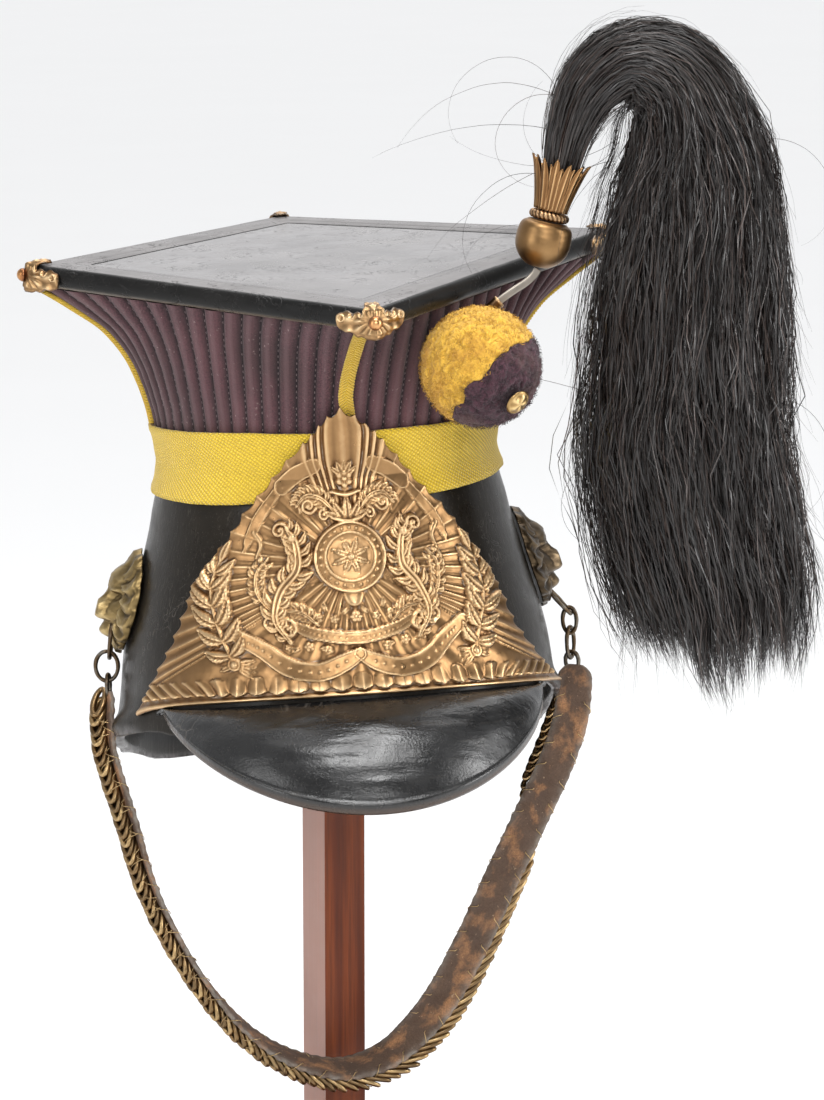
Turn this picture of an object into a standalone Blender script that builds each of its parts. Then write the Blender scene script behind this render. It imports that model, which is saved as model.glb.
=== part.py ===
"""Lancer chapka on a plain wooden stand, modelled at full size in metres, +Z up.

The origin is the middle of the underside of the stand's base. The front of the
hat faces -Y. The hat leans a little on its stand, so all of its pieces hang on
one empty, and the square top board has an empty of its own.
"""
import math

import bmesh
import bpy
from mathutils import Euler, Matrix, Vector

# Clearances
GAP = 0.0003
BAND_EASE = 0.0009
PLATE_EASE = 0.0017
PLATE_OVER_BAND = 0.0034

# How the hat sits on the stand
HAT_HEIGHT = 0.266
HAT_SHIFT = 0.0013
HAT_LEAN = math.radians(2.5)

# Stand
BASE_SIDE = 0.190
BASE_THICKNESS = 0.022
BASE_CHAMFER = 0.003
POST_SIDE = 0.0184
POST_TURN = math.radians(22.2)
HEAD_RADIUS = 0.034
HEAD_THICKNESS = 0.014

# Skull, the stiff leather body
WAIST_HEIGHT = 0.0795
WAIST_RADIUS = 0.066
SKULL_HALF_WIDTH = 0.089
SKULL_HALF_LENGTH = 0.1015
SKULL_WALL = 0.0025
RIM_DROP = 0.064
RIM_ROLL = 0.0012

# Peak
PEAK_REACH = 0.137
PEAK_DROP = 0.0345
PEAK_HALF_WIDTH = 0.0745
PEAK_HALF_ANGLE = 60.0
PEAK_WALL = 0.0022
PEAK_BULGE = 0.0065
PEAK_TURN = math.radians(-2.5)
PEAK_TILT = 0.06
PEAK_BULGE_DIRECTION = (0.0, -0.6, 0.8)
PEAK_INWARD = (0.0, 0.62, -0.78)

# Top board
BOARD_SIDE = 0.165
BOARD_HEIGHT = 0.1577
BOARD_THICKNESS = 0.0085
BOARD_SHIFT = 0.0022
BOARD_TILT = math.radians(3.2)
BOARD_TURN = math.radians(2.4)
BOARD_WARP = 0.0028
BOARD_CORNER = 0.0030
BORDER_WIDTH = 0.0176
PANEL_RECESS = 0.0010

# Fluted cloth crown
CROWN_INSET = 0.0045
CROWN_HEIGHT = 0.0715
CROWN_WALL = 0.0018
FLUTE_DEPTH = 0.0009
FLUTES_PER_SIDE = 16

# Yellow trim
BAND_THICKNESS = 0.0012
BAND_BOTTOM = 0.0668
BAND_TOP = 0.0932
BAND_BOTTOM_SLOPE = 0.015
BAND_TOP_SLOPE = 0.040
PIPING_WIDTH = 0.0056
PIPING_THICKNESS = 0.0012
PIPING_TOP = 0.985

# Corner leaves
LEAF_REACH = 0.0165
LEAF_DROP = 0.0110
LEAF_LAP = 0.0067
LEAF_THICKNESS = 0.0009
LEAF_RAISE = 0.0014
LEAF_SHOULDER = 0.0030
LEAF_SEAT = 0.0006

# Front plate
PLATE_TOP = 0.1078
PLATE_BASE = 0.0008
PLATE_BASE_FALL = 0.016
PLATE_HALF_ANGLE = 75.0
PLATE_THICKNESS = 0.0009
PLATE_CENTRE = 0.049
PLATE_RELIEF = 0.0026
SCALLOP_DEPTH = 0.0020
SCALLOPS_PER_SIDE = 18

# Lion bosses and rings
BOSS_RADIUS = 0.0205
BOSS_PROUD = 0.0130
BOSS_EDGE = 0.0012
BOSS_EASE = 0.0010
BOSS_ANGLE = 92.0
BOSS_NARROWING = 0.92
BOSS_HEIGHT_LEFT = 0.0235
BOSS_HEIGHT_RIGHT = 0.0305
BOSS_MUZZLE_DROP = 0.0045
WIRE = 0.00085
LINK_EASE = 0.0009
MOUTH_RING_LEFT_AT = (-0.0897, 0.0030, 0.0081)
MOUTH_RING_RIGHT_AT = (0.0922, 0.0030, 0.0103)
MOUTH_RING_TURN = 82.0
MOUTH_RING_LEFT_LEAN = -8.0
MOUTH_RING_RIGHT_LEAN = 40.0

# Chin strap
STRAP_WIDTH = 0.0143
STRAP_THICKNESS = 0.0020
CHAIN_WIDTH = 0.0120
CHAIN_THICKNESS = 0.0034
CHAIN_SCALLOP = 0.0008
CHAIN_SPAN = (0.01, 0.97)
CHAIN_SHOULDER = 0.8
CHAIN_CREST = 0.55

# Plume holder, plume and cockade
COCKADE_RADIUS = 0.0228
COCKADE_AT = (0.0504, -0.0848, 0.1208)
COCKADE_AXIS = (0.590, -0.471, -0.655)
COCKADE_SPLIT = 0.0074
TUFT_DEPTH = 0.0008
BUTTON_RADIUS = 0.0050
BUTTON_DIRECTION = (0.444, -0.757, -0.481)
SOCKET_RADIUS = 0.0024
SOCKET_WALL = 0.0006
SOCKET_MOUTH = (0.0615, -0.0665, 0.1432)
SOCKET_FOOT = (0.0535, -0.0662, 0.1367)
STEM_WIDTH = 0.0029
STEM_THICKNESS = 0.0009
HOLDER_AT = (0.0792, -0.0660, 0.1650)
HOLDER_LEAN = math.radians(16.0)
BALL_RADIUS = 0.0106
BALL_NECK = 0.72
COLLAR_RADIUS = 0.0078
COLLAR_WIRE = 0.0017
COLLAR_HEIGHT = BALL_RADIUS * BALL_NECK + COLLAR_WIRE + GAP
LEAF_COUNT = 9
LEAF_HEIGHT = 0.0185
LEAF_CUP_RADIUS = 0.0062
LEAF_TIP_RADIUS = 0.0118
LEAF_WALL = 0.0009
HAIR_WIDTH = 0.0410
HAIR_DEPTH = 0.0250
HAIR_LOCKS = 16
HAIR_GROOVE = 0.12
TIP_GROOVE_FALL = 0.35
TIP_SPREAD = 0.06
TIP_GATHER = 0.8
TIP_HOLLOW = 0.15

# Skull section: height as a share of the waist height, and how much of the
# flare from waist to rim is reached there
SKULL_SECTION = (
    (1.00, 0.00), (0.85, 0.10), (0.75, 0.19), (0.65, 0.26), (0.50, 0.40), (0.31, 0.58),
    (0.15, 0.73), (0.00, 0.835), (-0.18, 0.91), (-0.36, 1.00), (-0.85, 1.08))

# Lower rim: angle from the front in degrees, share of the rim drop
RIM_LINE = (
    (0, 0.00), (30, 0.05), (51, 0.13), (66, 0.20), (78, 0.31), (90, 0.44), (102, 0.61),
    (114, 0.76), (136, 0.93), (158, 0.985), (180, 1.00))

# Rows of the skull wall: share of the way from rim to waist, share of the rim roll
SKULL_ROWS = ((0.0, 0.0), (0.03, 0.9), (0.11, 1.0), (0.20, 0.0), (0.42, 0.0), (0.62, 0.0),
              (0.82, 0.0), (1.0, 0.0))
SKULL_INNER_ROWS = (0.0, 0.20, 0.45, 0.72, 1.0)

# Crown section: share of the crown's full height, share of the widening at
# the corners, share of the widening in the middle of a side, share of the flute depth
CROWN_SECTION = (
    (0.00, 0.000, 0.000, 0.35), (0.26, 0.060, 0.150, 0.60), (0.52, 0.190, 0.410, 1.05),
    (0.72, 0.400, 0.660, 1.20), (0.87, 0.700, 0.840, 1.30), (1.00, 1.000, 1.000, 1.30))
CROWN_INNER_SECTION = (0.0, 0.40, 0.72, 1.0)

# Edge of the top board: inset from the outer edge and height as shares of the
# board thickness
RIM_SECTION = ((0.35, 0.06), (0.10, -0.14), (0.00, -0.50), (0.10, -0.88), (0.35, -1.00))

# Corner leaf: place along its reach, share of its lap and drop, share of its swelling
LEAF_STATIONS = (
    (-1.00, 0.52, 0.00), (-0.68, 0.69, 0.10), (-0.38, 0.87, 0.38), (-0.16, 0.96, 0.70), (0.00, 1.00, 1.00),
    (0.16, 0.96, 0.70), (0.38, 0.87, 0.38), (0.68, 0.69, 0.10), (1.00, 0.52, 0.00))

# Outline of the plate's side: share of its height, share of its half angle
PLATE_SIDE = (
    (1.000, 0.000), (0.970, 0.095), (0.905, 0.165), (0.830, 0.235), (0.750, 0.325),
    (0.667, 0.420), (0.560, 0.500), (0.440, 0.590), (0.330, 0.665), (0.230, 0.735),
    (0.130, 0.815), (0.055, 0.900), (0.000, 1.000))

# Rings of the plate's face: share of the way from the middle to the outline,
# height of the ridges and of the valleys as shares of the relief
PLATE_RINGS = (
    (1.00, 0.00, 0.00), (0.94, 0.45, 0.10), (0.82, 0.50, 0.12), (0.68, 0.45, 0.15))
PLATE_INNER_RINGS = ((0.52, 0.55, 0.30), (0.36, 0.60, 0.35), (0.22, 1.00, 1.00))
PLATE_BACK_RINGS = (0.80, 0.60, 0.40, 0.20)

# Rings of a lion's head: share of the radius, share of its height, share of the
# muzzle's drop that the ring follows, depth of the mane's locks
BOSS_RINGS = (
    (1.00, 0.00, 0.0, 0.06), (0.98, 0.16, 0.0, 0.06), (0.78, 0.40, 0.1, 0.10),
    (0.56, 0.66, 0.4, 0.04), (0.34, 0.93, 0.8, 0.0))

# Half height and half width of the rings, to the middle of their wire, then each
# link's turn about Z and its step to the side of the one above
MOUTH_RING_LEFT = (0.0077, 0.0068)
MOUTH_RING_RIGHT = (0.0067, 0.0034)
LEFT_LINKS = (
    ("round_ring_left", (0.0060, 0.0045), 0, -0.0013), ("end_link_left", (0.0046, 0.0030), 75, 0.0002))
RIGHT_LINKS = (
    ("small_link_right", (0.0054, 0.0028), -15, -0.0006), ("oval_ring_right", (0.0064, 0.0034), 55, 0.0),
    ("end_hook_right", (0.0040, 0.0028), -30, 0.0004))

# Route of the chin strap on the hat: x, y, z and the turn of its outer face
# towards the front in degrees, from the left ring to the right one
STRAP_ROUTE = (
    (-0.0920, 0.0028, -0.0133, 13), (-0.0932, -0.0010, -0.0260, 13), (-0.0922, -0.0045, -0.0390, 13),
    (-0.0862, -0.0100, -0.0635, 13), (-0.0804, -0.0140, -0.0880, 9), (-0.0706, -0.0175, -0.1125, 7),
    (-0.0562, -0.0210, -0.1375, 2), (-0.0415, -0.0230, -0.1545, -5), (-0.0250, -0.0245, -0.1650, -12),
    (-0.0080, -0.0250, -0.1695, -20), (0.0085, -0.0245, -0.1660, -32), (0.0215, -0.0235, -0.1570, -46),
    (0.0345, -0.0215, -0.1430, -60), (0.0480, -0.0185, -0.1220, -70), (0.0610, -0.0150, -0.0985, -76),
    (0.0735, -0.0135, -0.0755, -80), (0.0855, -0.0120, -0.0530, -82), (0.0935, -0.0065, -0.0350, -82),
    (0.0976, 0.0022, -0.0162, -80))

# Stem from the socket up to the ball, on the hat
STEM_ROUTE = (
    (0.0575, -0.0663, 0.13995), (0.0615, -0.0665, 0.1432), (0.0665, -0.0665, 0.1464),
    (0.0715, -0.0662, 0.1492), (0.0750, -0.0660, 0.1520), (0.0767, -0.0660, 0.1543))

# Plume: x, y, z on the hat and the half width and half depth as shares
HAIR_ROUTE = (
    (0.0815, -0.0660, 0.1731, 0.093, 0.154), (0.0833, -0.0660, 0.1790, 0.10, 0.16),
    (0.0866, -0.0658, 0.1905, 0.13, 0.22),
    (0.0910, -0.0650, 0.2060, 0.20, 0.34), (0.0995, -0.0635, 0.2220, 0.29, 0.44),
    (0.1150, -0.0615, 0.2325, 0.40, 0.60), (0.1300, -0.0605, 0.2240, 0.60, 0.80),
    (0.1365, -0.0600, 0.2000, 0.78, 0.92), (0.1370, -0.0600, 0.1720, 0.91, 1.00),
    (0.1340, -0.0600, 0.1300, 1.02, 1.00), (0.1335, -0.0600, 0.0900, 1.03, 1.00),
    (0.1385, -0.0600, 0.0500, 1.00, 0.95), (0.1450, -0.0600, 0.0200, 0.95, 0.80))
# Length of each lock past the last section, as a share of the plume's width
LOCK_TIPS = (0.95, 0.88, 0.96, 0.84, 0.86, 0.70, 0.46, 0.26, 0.16, 0.26, 0.50, 0.72, 0.88, 0.80, 0.92,
             0.84)

COLOURS = {
    "leather": ((0.022, 0.022, 0.024), 0.32, 0.0),
    "cloth": ((0.085, 0.045, 0.070), 0.90, 0.0),
    "yellow": ((0.66, 0.50, 0.045), 0.85, 0.0),
    "gilt": ((0.55, 0.33, 0.13), 0.32, 1.0),
    "brass": ((0.40, 0.26, 0.10), 0.38, 1.0),
    "strap": ((0.12, 0.065, 0.035), 0.85, 0.0),
    "hair": ((0.012, 0.010, 0.010), 0.55, 0.0),
    "wood": ((0.24, 0.075, 0.030), 0.45, 0.0),
    "steel": ((0.60, 0.58, 0.54), 0.28, 1.0),
}


def table(rows, value, column=1):
    """Reads a column of a table at a value of its first column."""
    rows = sorted(rows)
    if value <= rows[0][0]:
        return rows[0][column]
    for low, high in zip(rows, rows[1:]):
        if value <= high[0]:
            share = (value - low[0]) / (high[0] - low[0])
            return low[column] + share * (high[column] - low[column])
    return rows[-1][column]


def mix(first, second, share):
    return first + (second - first) * share


class Solid:
    """Collects rings of points and the faces between them."""

    def __init__(self):
        self.points = []
        self.faces = []

    def ring(self, points):
        start = len(self.points)
        self.points.extend(tuple(point) for point in points)
        return list(range(start, len(self.points)))

    def strip(self, first, second, closed=True):
        """Joins two rings with as many points, or one with twice as many."""
        if len(first) < len(second):
            first, second = second, first
        step = len(first) // len(second)
        count = len(second) if closed else len(second) - 1
        for index in range(count):
            after = (index + 1) % len(second)
            a, d = second[index], second[after]
            if step == 1:
                self.faces.append((a, first[index], first[after], d))
            else:
                b, c = first[2 * index], first[2 * index + 1]
                e = first[(2 * index + 2) % len(first)]
                self.faces.extend([(a, b, c), (a, c, d), (c, e, d)])

    def fan(self, ring, centre):
        middle = self.ring([centre])[0]
        for index, point in enumerate(ring):
            self.faces.append((point, ring[(index + 1) % len(ring)], middle))

    def face(self, ring):
        self.faces.append(tuple(ring))

    def tube(self, rings, closed_path=False):
        """Joins rings in turn and closes both ends, or the last to the first."""
        loops = [self.ring(points) for points in rings]
        for first, second in zip(loops, loops[1:]):
            self.strip(first, second)
        if closed_path:
            self.strip(loops[-1], loops[0])
        else:
            self.face(loops[0])
            self.face(reversed(loops[-1]))
        return loops

    def make(self, name, colour, parent=None, place=None):
        mesh = bpy.data.meshes.new(name)
        mesh.from_pydata(self.points, [], self.faces)
        form = bmesh.new()
        form.from_mesh(mesh)
        bmesh.ops.recalc_face_normals(form, faces=form.faces)
        form.to_mesh(mesh)
        form.free()
        mesh.shade_smooth()
        mesh.set_sharp_from_angle(angle=math.radians(38))
        return add_object(name, mesh, colour, parent, place)


def add_object(name, mesh, colour, parent=None, place=None):
    thing = bpy.data.objects.new(name, mesh)
    bpy.context.scene.collection.objects.link(thing)
    mesh.materials.append(material(name, colour))
    thing.parent = parent
    if place is not None:
        thing.matrix_local = place
    return thing


def material(name, colour):
    base, rough, metal = COLOURS[colour]
    made = bpy.data.materials.new(name)
    made.use_nodes = True
    shader = made.node_tree.nodes["Principled BSDF"]
    shader.inputs["Base Color"].default_value = (*base, 1.0)
    shader.inputs["Roughness"].default_value = rough
    shader.inputs["Metallic"].default_value = metal
    return made


def empty(name, location, rotation, parent=None):
    frame = bpy.data.objects.new(name, None)
    bpy.context.scene.collection.objects.link(frame)
    frame.location = location
    frame.rotation_euler = rotation
    frame.parent = parent
    return frame


# Shape of the board, in its own frame: corners lie on X and Y


def warp(x, y):
    reach = BOARD_SIDE / math.sqrt(2)
    return BOARD_WARP * ((x / reach) ** 2 - (y / reach) ** 2)


def board_ring(inset, height, per_side=4):
    """Points round the square: front corner first, then towards +X."""
    half = BOARD_SIDE / 2 - inset
    corner = max(BOARD_CORNER - inset, 2 * GAP)
    points = []
    for side in range(4):
        turn = math.radians(90 * side - 90)
        out = Vector((math.cos(turn + math.pi / 4), math.sin(turn + math.pi / 4)))
        along = Vector((-out.y, out.x))
        for step in range(per_side + 1):
            reach = mix(-half + corner, half - corner, step / per_side)
            flat = out * half + along * reach
            points.append((flat.x, flat.y, height + warp(flat.x, flat.y)))
    return points


def board_under(x, y):
    """Height of the board's underside over a point of the hat."""
    flat = Matrix.Rotation(-BOARD_TURN, 2) @ Vector((x - BOARD_SHIFT, y))
    rise = flat.y * math.tan(BOARD_TILT)
    return BOARD_HEIGHT - BOARD_THICKNESS + rise + warp(flat.x, flat.y)


# Shape of the body


def skull_axes(height):
    """Half width and half length of the leather skull at a height."""
    flare = table(SKULL_SECTION, height / WAIST_HEIGHT)
    return (mix(WAIST_RADIUS, SKULL_HALF_WIDTH, flare), mix(WAIST_RADIUS, SKULL_HALF_LENGTH, flare))


def skull_point(angle, height, offset=0.0):
    """Point on the skull, by its angle from the front in degrees."""
    across, along = skull_axes(height)
    turn = math.radians(angle)
    return Vector(((across + offset) * math.sin(turn), -(along + offset) * math.cos(turn), height))


def rim_height(angle):
    angle = abs((angle + 180) % 360 - 180)
    return -RIM_DROP * table(RIM_LINE, angle)


def crown_corner_radius():
    return BOARD_SIDE / math.sqrt(2) - CROWN_INSET


def crown_reach(share):
    """Radius of the crown at a corner and in the middle of a side."""
    corner = mix(WAIST_RADIUS, crown_corner_radius(), table(CROWN_SECTION, share, 1))
    middle = mix(WAIST_RADIUS, crown_corner_radius() / math.sqrt(2), table(CROWN_SECTION, share, 2))
    return corner, middle


def crown_plan(share, place, offset=0.0):
    """Plan of the crown at a share of its full height, with place from 0 to 4 round its corners."""
    corner, middle = crown_reach(share)
    side = math.floor(place)
    along = place - side
    turn = BOARD_TURN * share
    start = math.radians(90 * side - 90) + turn
    first = Vector((math.cos(start), math.sin(start))) * corner
    second = Vector((-math.sin(start), math.cos(start))) * corner
    bow = middle - corner / math.sqrt(2)
    out = (first + second).normalized()
    half = corner / math.sqrt(2)
    if bow > 0.02 * half:
        radius = (half * half + bow * bow) / (2 * bow)
        swing = math.asin(min(1.0, half / radius))
        angle = mix(-swing, swing, along)
        chord = (second - first).normalized()
        centre = out * (middle - radius)
        flat = centre + out * radius * math.cos(angle) + chord * radius * math.sin(angle)
        normal = out * math.cos(angle) + chord * math.sin(angle)
    else:
        flat = first.lerp(second, along)
        flat += out * bow * math.sin(math.pi * along)
        normal = out
    flat += normal * offset
    flat.x += BOARD_SHIFT * share
    return flat


def crown_point(part, place, offset=0.0):
    """Point of the crown, part of the way up from the waist to the board over it."""
    base = WAIST_HEIGHT + GAP * 2
    reach = CROWN_HEIGHT
    for _ in range(5):
        over = crown_plan(reach / CROWN_HEIGHT, place, offset)
        reach = board_under(over.x, over.y) - GAP - base
    flat = crown_plan(part * reach / CROWN_HEIGHT, place, offset)
    return Vector((flat.x, flat.y, base + part * reach))


def crown_line(part, place, offset=0.0):
    """Point on the straight line between the two rows of the crown next to it."""
    rows = [row[0] for row in CROWN_SECTION]
    for low, high in zip(rows, rows[1:]):
        if part <= high:
            first, second = crown_point(low, place, offset), crown_point(high, place, offset)
            return first.lerp(second, (part - low) / (high - low))
    return crown_point(1.0, place, offset)


def body_point(angle, height, offset):
    """Point in front of the hat's body, which widens again over the waist."""
    if height <= WAIST_HEIGHT:
        return skull_point(angle, height, offset)
    radius = max(crown_reach((height - WAIST_HEIGHT) / CROWN_HEIGHT)) + offset
    turn = math.radians(angle)
    shift = BOARD_SHIFT * (height - WAIST_HEIGHT) / CROWN_HEIGHT
    return Vector((shift + radius * math.sin(turn), -radius * math.cos(turn), height))


# Stand


def level_in_hat(x, level):
    """Height in the hat's frame of a point that lies level on the stand."""
    return (level - HAT_HEIGHT - x * math.sin(HAT_LEAN)) / math.cos(HAT_LEAN)


def head_bottom():
    under = board_under(0.0, 0.0)
    return HAT_HEIGHT + under - HEAD_THICKNESS


def build_stand(hat):
    base = Solid()
    low, high = BASE_SIDE / 2, BASE_SIDE / 2 - BASE_CHAMFER
    levels = ((low, 0.0), (low, BASE_THICKNESS - BASE_CHAMFER), (high, BASE_THICKNESS))
    base.tube([square(half, height) for half, height in levels])
    base.make("stand_base", "wood")

    post = Solid()
    bottom, top = BASE_THICKNESS + GAP, head_bottom() - GAP
    post.tube([square(POST_SIDE / 2, height) for height in (bottom, top)])
    post.make("stand_post", "wood", None, Matrix.Rotation(POST_TURN, 4, "Z"))

    head = Solid()
    lean = math.sin(HAT_LEAN) * (head_bottom() - HAT_HEIGHT)
    middle = lean - HAT_SHIFT
    lower, upper = [], []
    for turn in range(16):
        angle = math.radians(22.5 * turn)
        x = middle + HEAD_RADIUS * math.cos(angle)
        y = HEAD_RADIUS * math.sin(angle)
        lower.append((x, y, level_in_hat(x, head_bottom())))
        upper.append((x, y, board_under(x, y) - GAP * 2))
    head.tube([lower, upper])
    head.make("stand_head", "wood", hat)


def square(half, height):
    return [(-half, -half, height), (half, -half, height), (half, half, height), (-half, half, height)]


# Leather body and peak


def build_skull(hat):
    skull = Solid()
    angles = [11.25 * column for column in range(32)]
    outer = []
    for share, roll in SKULL_ROWS:
        row = []
        for angle in angles:
            height = mix(rim_height(angle), WAIST_HEIGHT, share)
            sides = min(1.0, max(0.0, (abs((angle + 180) % 360 - 180) - 50) / 25))
            row.append(skull_point(angle, height, roll * RIM_ROLL * sides))
        outer.append(row)
    inner = []
    for share in reversed(SKULL_INNER_ROWS):
        row = []
        for angle in angles:
            height = mix(rim_height(angle), WAIST_HEIGHT, share)
            row.append(skull_point(angle, height, -SKULL_WALL))
        inner.append(row)
    skull.tube(outer + inner, closed_path=True)
    skull.make("skull", "leather", hat)


def plate_base_height(angle):
    return PLATE_BASE - PLATE_BASE_FALL * (angle / PLATE_HALF_ANGLE) ** 2


def peak_edge(share):
    """Outer edge of the peak, share from -1 at its left end to 1 at its right."""
    sweep = share * math.pi / 2
    root = skull_point(PEAK_HALF_ANGLE, plate_base_height(PEAK_HALF_ANGLE))
    x = PEAK_HALF_WIDTH * math.sin(sweep)
    y = mix(root.y, -PEAK_REACH, math.cos(sweep))
    z = mix(root.z, -PEAK_DROP, math.cos(sweep) ** 1.4) - PEAK_TILT * x * math.cos(sweep)
    flat = Matrix.Rotation(PEAK_TURN * math.cos(sweep), 2) @ Vector((x, y))
    return Vector((flat.x, flat.y, z))


def build_peak(hat):
    peak = Solid()
    columns, rows = 17, 6
    inward = Vector(PEAK_INWARD) * PEAK_WALL
    outward = Vector(PEAK_BULGE_DIRECTION)
    upper, lower = [], []
    for column in range(columns):
        share = -1 + 2 * column / (columns - 1)
        angle = share * PEAK_HALF_ANGLE
        root = skull_point(angle, plate_base_height(angle) - GAP * 5, GAP + 0.75 * PEAK_WALL)
        edge = peak_edge(share * 0.985)
        line = []
        for row in range(rows):
            part = row / (rows - 1)
            bulge = PEAK_BULGE * 4 * part * (1 - part) * math.cos(share * math.pi / 2) ** 0.5
            line.append(root.lerp(edge, part) + outward * bulge)
        upper.append(line)
        lower.append([point + inward for point in line])
    loops = []
    for top, under in zip(upper, lower):
        loops.append(top + under[::-1])
    peak.tube(loops)
    peak.make("peak", "leather", hat)


# Crown, piping and band


def build_crown(hat):
    crown = Solid()
    steps = FLUTES_PER_SIDE * 2
    outer = []
    for share, _, _, flute in CROWN_SECTION:
        row = []
        for step in range(4 * steps):
            lift = FLUTE_DEPTH * flute if step % 2 else 0.0
            row.append(crown_point(share, step / steps, lift))
        outer.append(row)
    inner = []
    for share in reversed(CROWN_INNER_SECTION):
        row = [crown_point(share, step / FLUTES_PER_SIDE, -CROWN_WALL)
               for step in range(4 * FLUTES_PER_SIDE)]
        inner.append(row)
    loops = [crown.ring(row) for row in outer + inner]
    for first, second in zip(loops, loops[1:] + loops[:1]):
        crown.strip(first, second)
    crown.make("crown_cloth", "cloth", hat)


def band_edge(side, x):
    """Height of the band's lower or upper edge, which both rise to the right."""
    if side == "bottom":
        return BAND_BOTTOM + BAND_BOTTOM_SLOPE * x
    return BAND_TOP + BAND_TOP_SLOPE * x


def piping_start(place):
    """Share of the crown's height at which the piping leaves the band."""
    foot = crown_point(0.0, place)
    top = band_edge("top", foot.x) + GAP * 3
    return (top - foot.z) / (crown_point(1.0, place).z - foot.z)


def build_piping(hat):
    for place, name in enumerate(("front", "right", "back", "left")):
        braid = Solid()
        sections = []
        start = piping_start(place)
        for share in [start] + [row[0] for row in CROWN_SECTION if row[0] > start]:
            corner = crown_line(min(share, PIPING_TOP), place)
            out = Vector((corner.x - BOARD_SHIFT * share, corner.y, 0)).normalized()
            side = Vector((-out.y, out.x, 0)) * PIPING_WIDTH / 2
            lift = FLUTE_DEPTH * table(CROWN_SECTION, share, 3) + GAP
            low = corner + out * lift
            high = corner + out * (lift + PIPING_THICKNESS)
            sections.append([low - side, low + side, high + side, high - side])
        braid.tube(sections)
        braid.make("crown_piping_" + name, "yellow", hat)


def build_band(hat):
    band = Solid()
    angles = [11.25 * column for column in range(32)]
    rows = []
    for share, side in ((0.0, 0), (0.0, 1), (0.48, 1), (1.0, 1), (1.0, 0), (0.48, 0)):
        offset = BAND_EASE + side * BAND_THICKNESS
        row = []
        for angle in angles:
            x = WAIST_RADIUS * math.sin(math.radians(angle))
            height = mix(band_edge("bottom", x), band_edge("top", x), share)
            row.append(body_point(angle, height, offset))
        rows.append(row)
    band.tube(rows, closed_path=True)
    band.make("waist_band", "yellow", hat)


# Top board


def build_board(board):
    rim = Solid()
    sections = [(BORDER_WIDTH, 0.0)]
    sections += [(inset * BOARD_THICKNESS, height * BOARD_THICKNESS) for inset, height in RIM_SECTION]
    sections += [(BORDER_WIDTH, -BOARD_THICKNESS)]
    rim.tube([board_ring(inset, height) for inset, height in sections], closed_path=True)
    rim.make("rim_binding", "leather", board)

    panel = Solid()
    edge = BORDER_WIDTH + GAP
    middle = BOARD_SIDE / 2 - edge
    upper = [panel.ring(board_ring(edge + middle * part, -PANEL_RECESS)) for part in (0.0, 0.5)]
    lower = [panel.ring(board_ring(edge + middle * part, -BOARD_THICKNESS)) for part in (0.0, 0.5)]
    for loops, height in ((upper, -PANEL_RECESS), (lower, -BOARD_THICKNESS)):
        for first, second in zip(loops, loops[1:]):
            panel.strip(first, second)
        panel.fan(loops[-1], (0.0, 0.0, height))
    panel.strip(upper[0], lower[0])
    panel.make("top_panel", "leather", board)


def build_corner_leaves(board):
    """A leaf folded over each corner of the board, with wings along both edges."""
    reach = BOARD_SIDE / math.sqrt(2)
    inward = Vector((0.0, math.sqrt(2), 0.0))
    top = GAP * 2
    for turn, name in enumerate(("front", "right", "back", "left")):
        spin = Matrix.Rotation(math.radians(90 * turn), 3, "Z")
        leaf = Solid()
        sections = []
        for station, spread, swell in LEAF_STATIONS:
            side = math.copysign(1.0, station) if station else 0.0
            run = Vector((side, 1.0, 0.0)).normalized() * abs(station) * LEAF_REACH
            out = Vector((side, -1.0, 0.0)).normalized()
            edge = Vector((0.0, -reach, 0.0)) + run
            raised = LEAF_THICKNESS + LEAF_RAISE * swell
            seat = out * GAP * 2
            rise = Vector((0.0, 0.0, raised))
            lap = edge + inward * LEAF_LAP * spread + Vector((0.0, 0.0, top + LEAF_SEAT))
            shoulder = edge + inward * LEAF_SHOULDER + Vector((0.0, 0.0, top + LEAF_SEAT))
            brow = edge + seat + Vector((0.0, 0.0, top))
            foot = edge + seat - Vector((0.0, 0.0, LEAF_DROP * spread))
            loop = [lap, shoulder, brow, foot, foot + out * LEAF_THICKNESS, brow + out * raised + rise * 0.5,
                    shoulder + rise, lap + Vector((0.0, 0.0, LEAF_THICKNESS))]
            placed = []
            for point in loop:
                spun = spin @ point
                placed.append((spun.x, spun.y, spun.z + warp(spun.x, spun.y)))
            sections.append(placed)
        leaf.tube(sections)
        leaf.make("corner_leaf_" + name, "gilt", board)


# Front plate


def plate_outline():
    """Angle, height and scallop (1 out, 0 in) of each point, from the top round to the right."""
    side = []
    steps = SCALLOPS_PER_SIDE * 2
    low = plate_base_height(PLATE_HALF_ANGLE)
    rows = [(1.0 - share, share, angle) for share, angle in PLATE_SIDE]
    for step in range(steps):
        part = step / steps
        share = table(rows, part, 1)
        angle = table(rows, part, 2) * PLATE_HALF_ANGLE
        side.append((angle, mix(low, PLATE_TOP, share), (step + 1) % 2))
    base = []
    base_steps = 24
    for step in range(base_steps):
        angle = mix(PLATE_HALF_ANGLE, -PLATE_HALF_ANGLE, step / base_steps)
        base.append((angle, plate_base_height(angle), 1))
    mirrored = [(-angle, height, tip) for angle, height, tip in side[1:]]
    last = (-PLATE_HALF_ANGLE, low, 1)
    return side + base + [last] + mirrored[::-1]


def plate_lift(height):
    """How far the plate's back stands off the body, more where it crosses the band."""
    share = min(1.0, max(0.0, (height - 0.70 * WAIST_HEIGHT) / (0.12 * WAIST_HEIGHT)))
    return mix(PLATE_EASE, PLATE_OVER_BAND, share)


def plate_point(angle, height, lift=0.0):
    return body_point(angle, height, plate_lift(height) + lift)


def towards_centre(angle, height, share):
    return angle * share, mix(PLATE_CENTRE, height, share)


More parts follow.
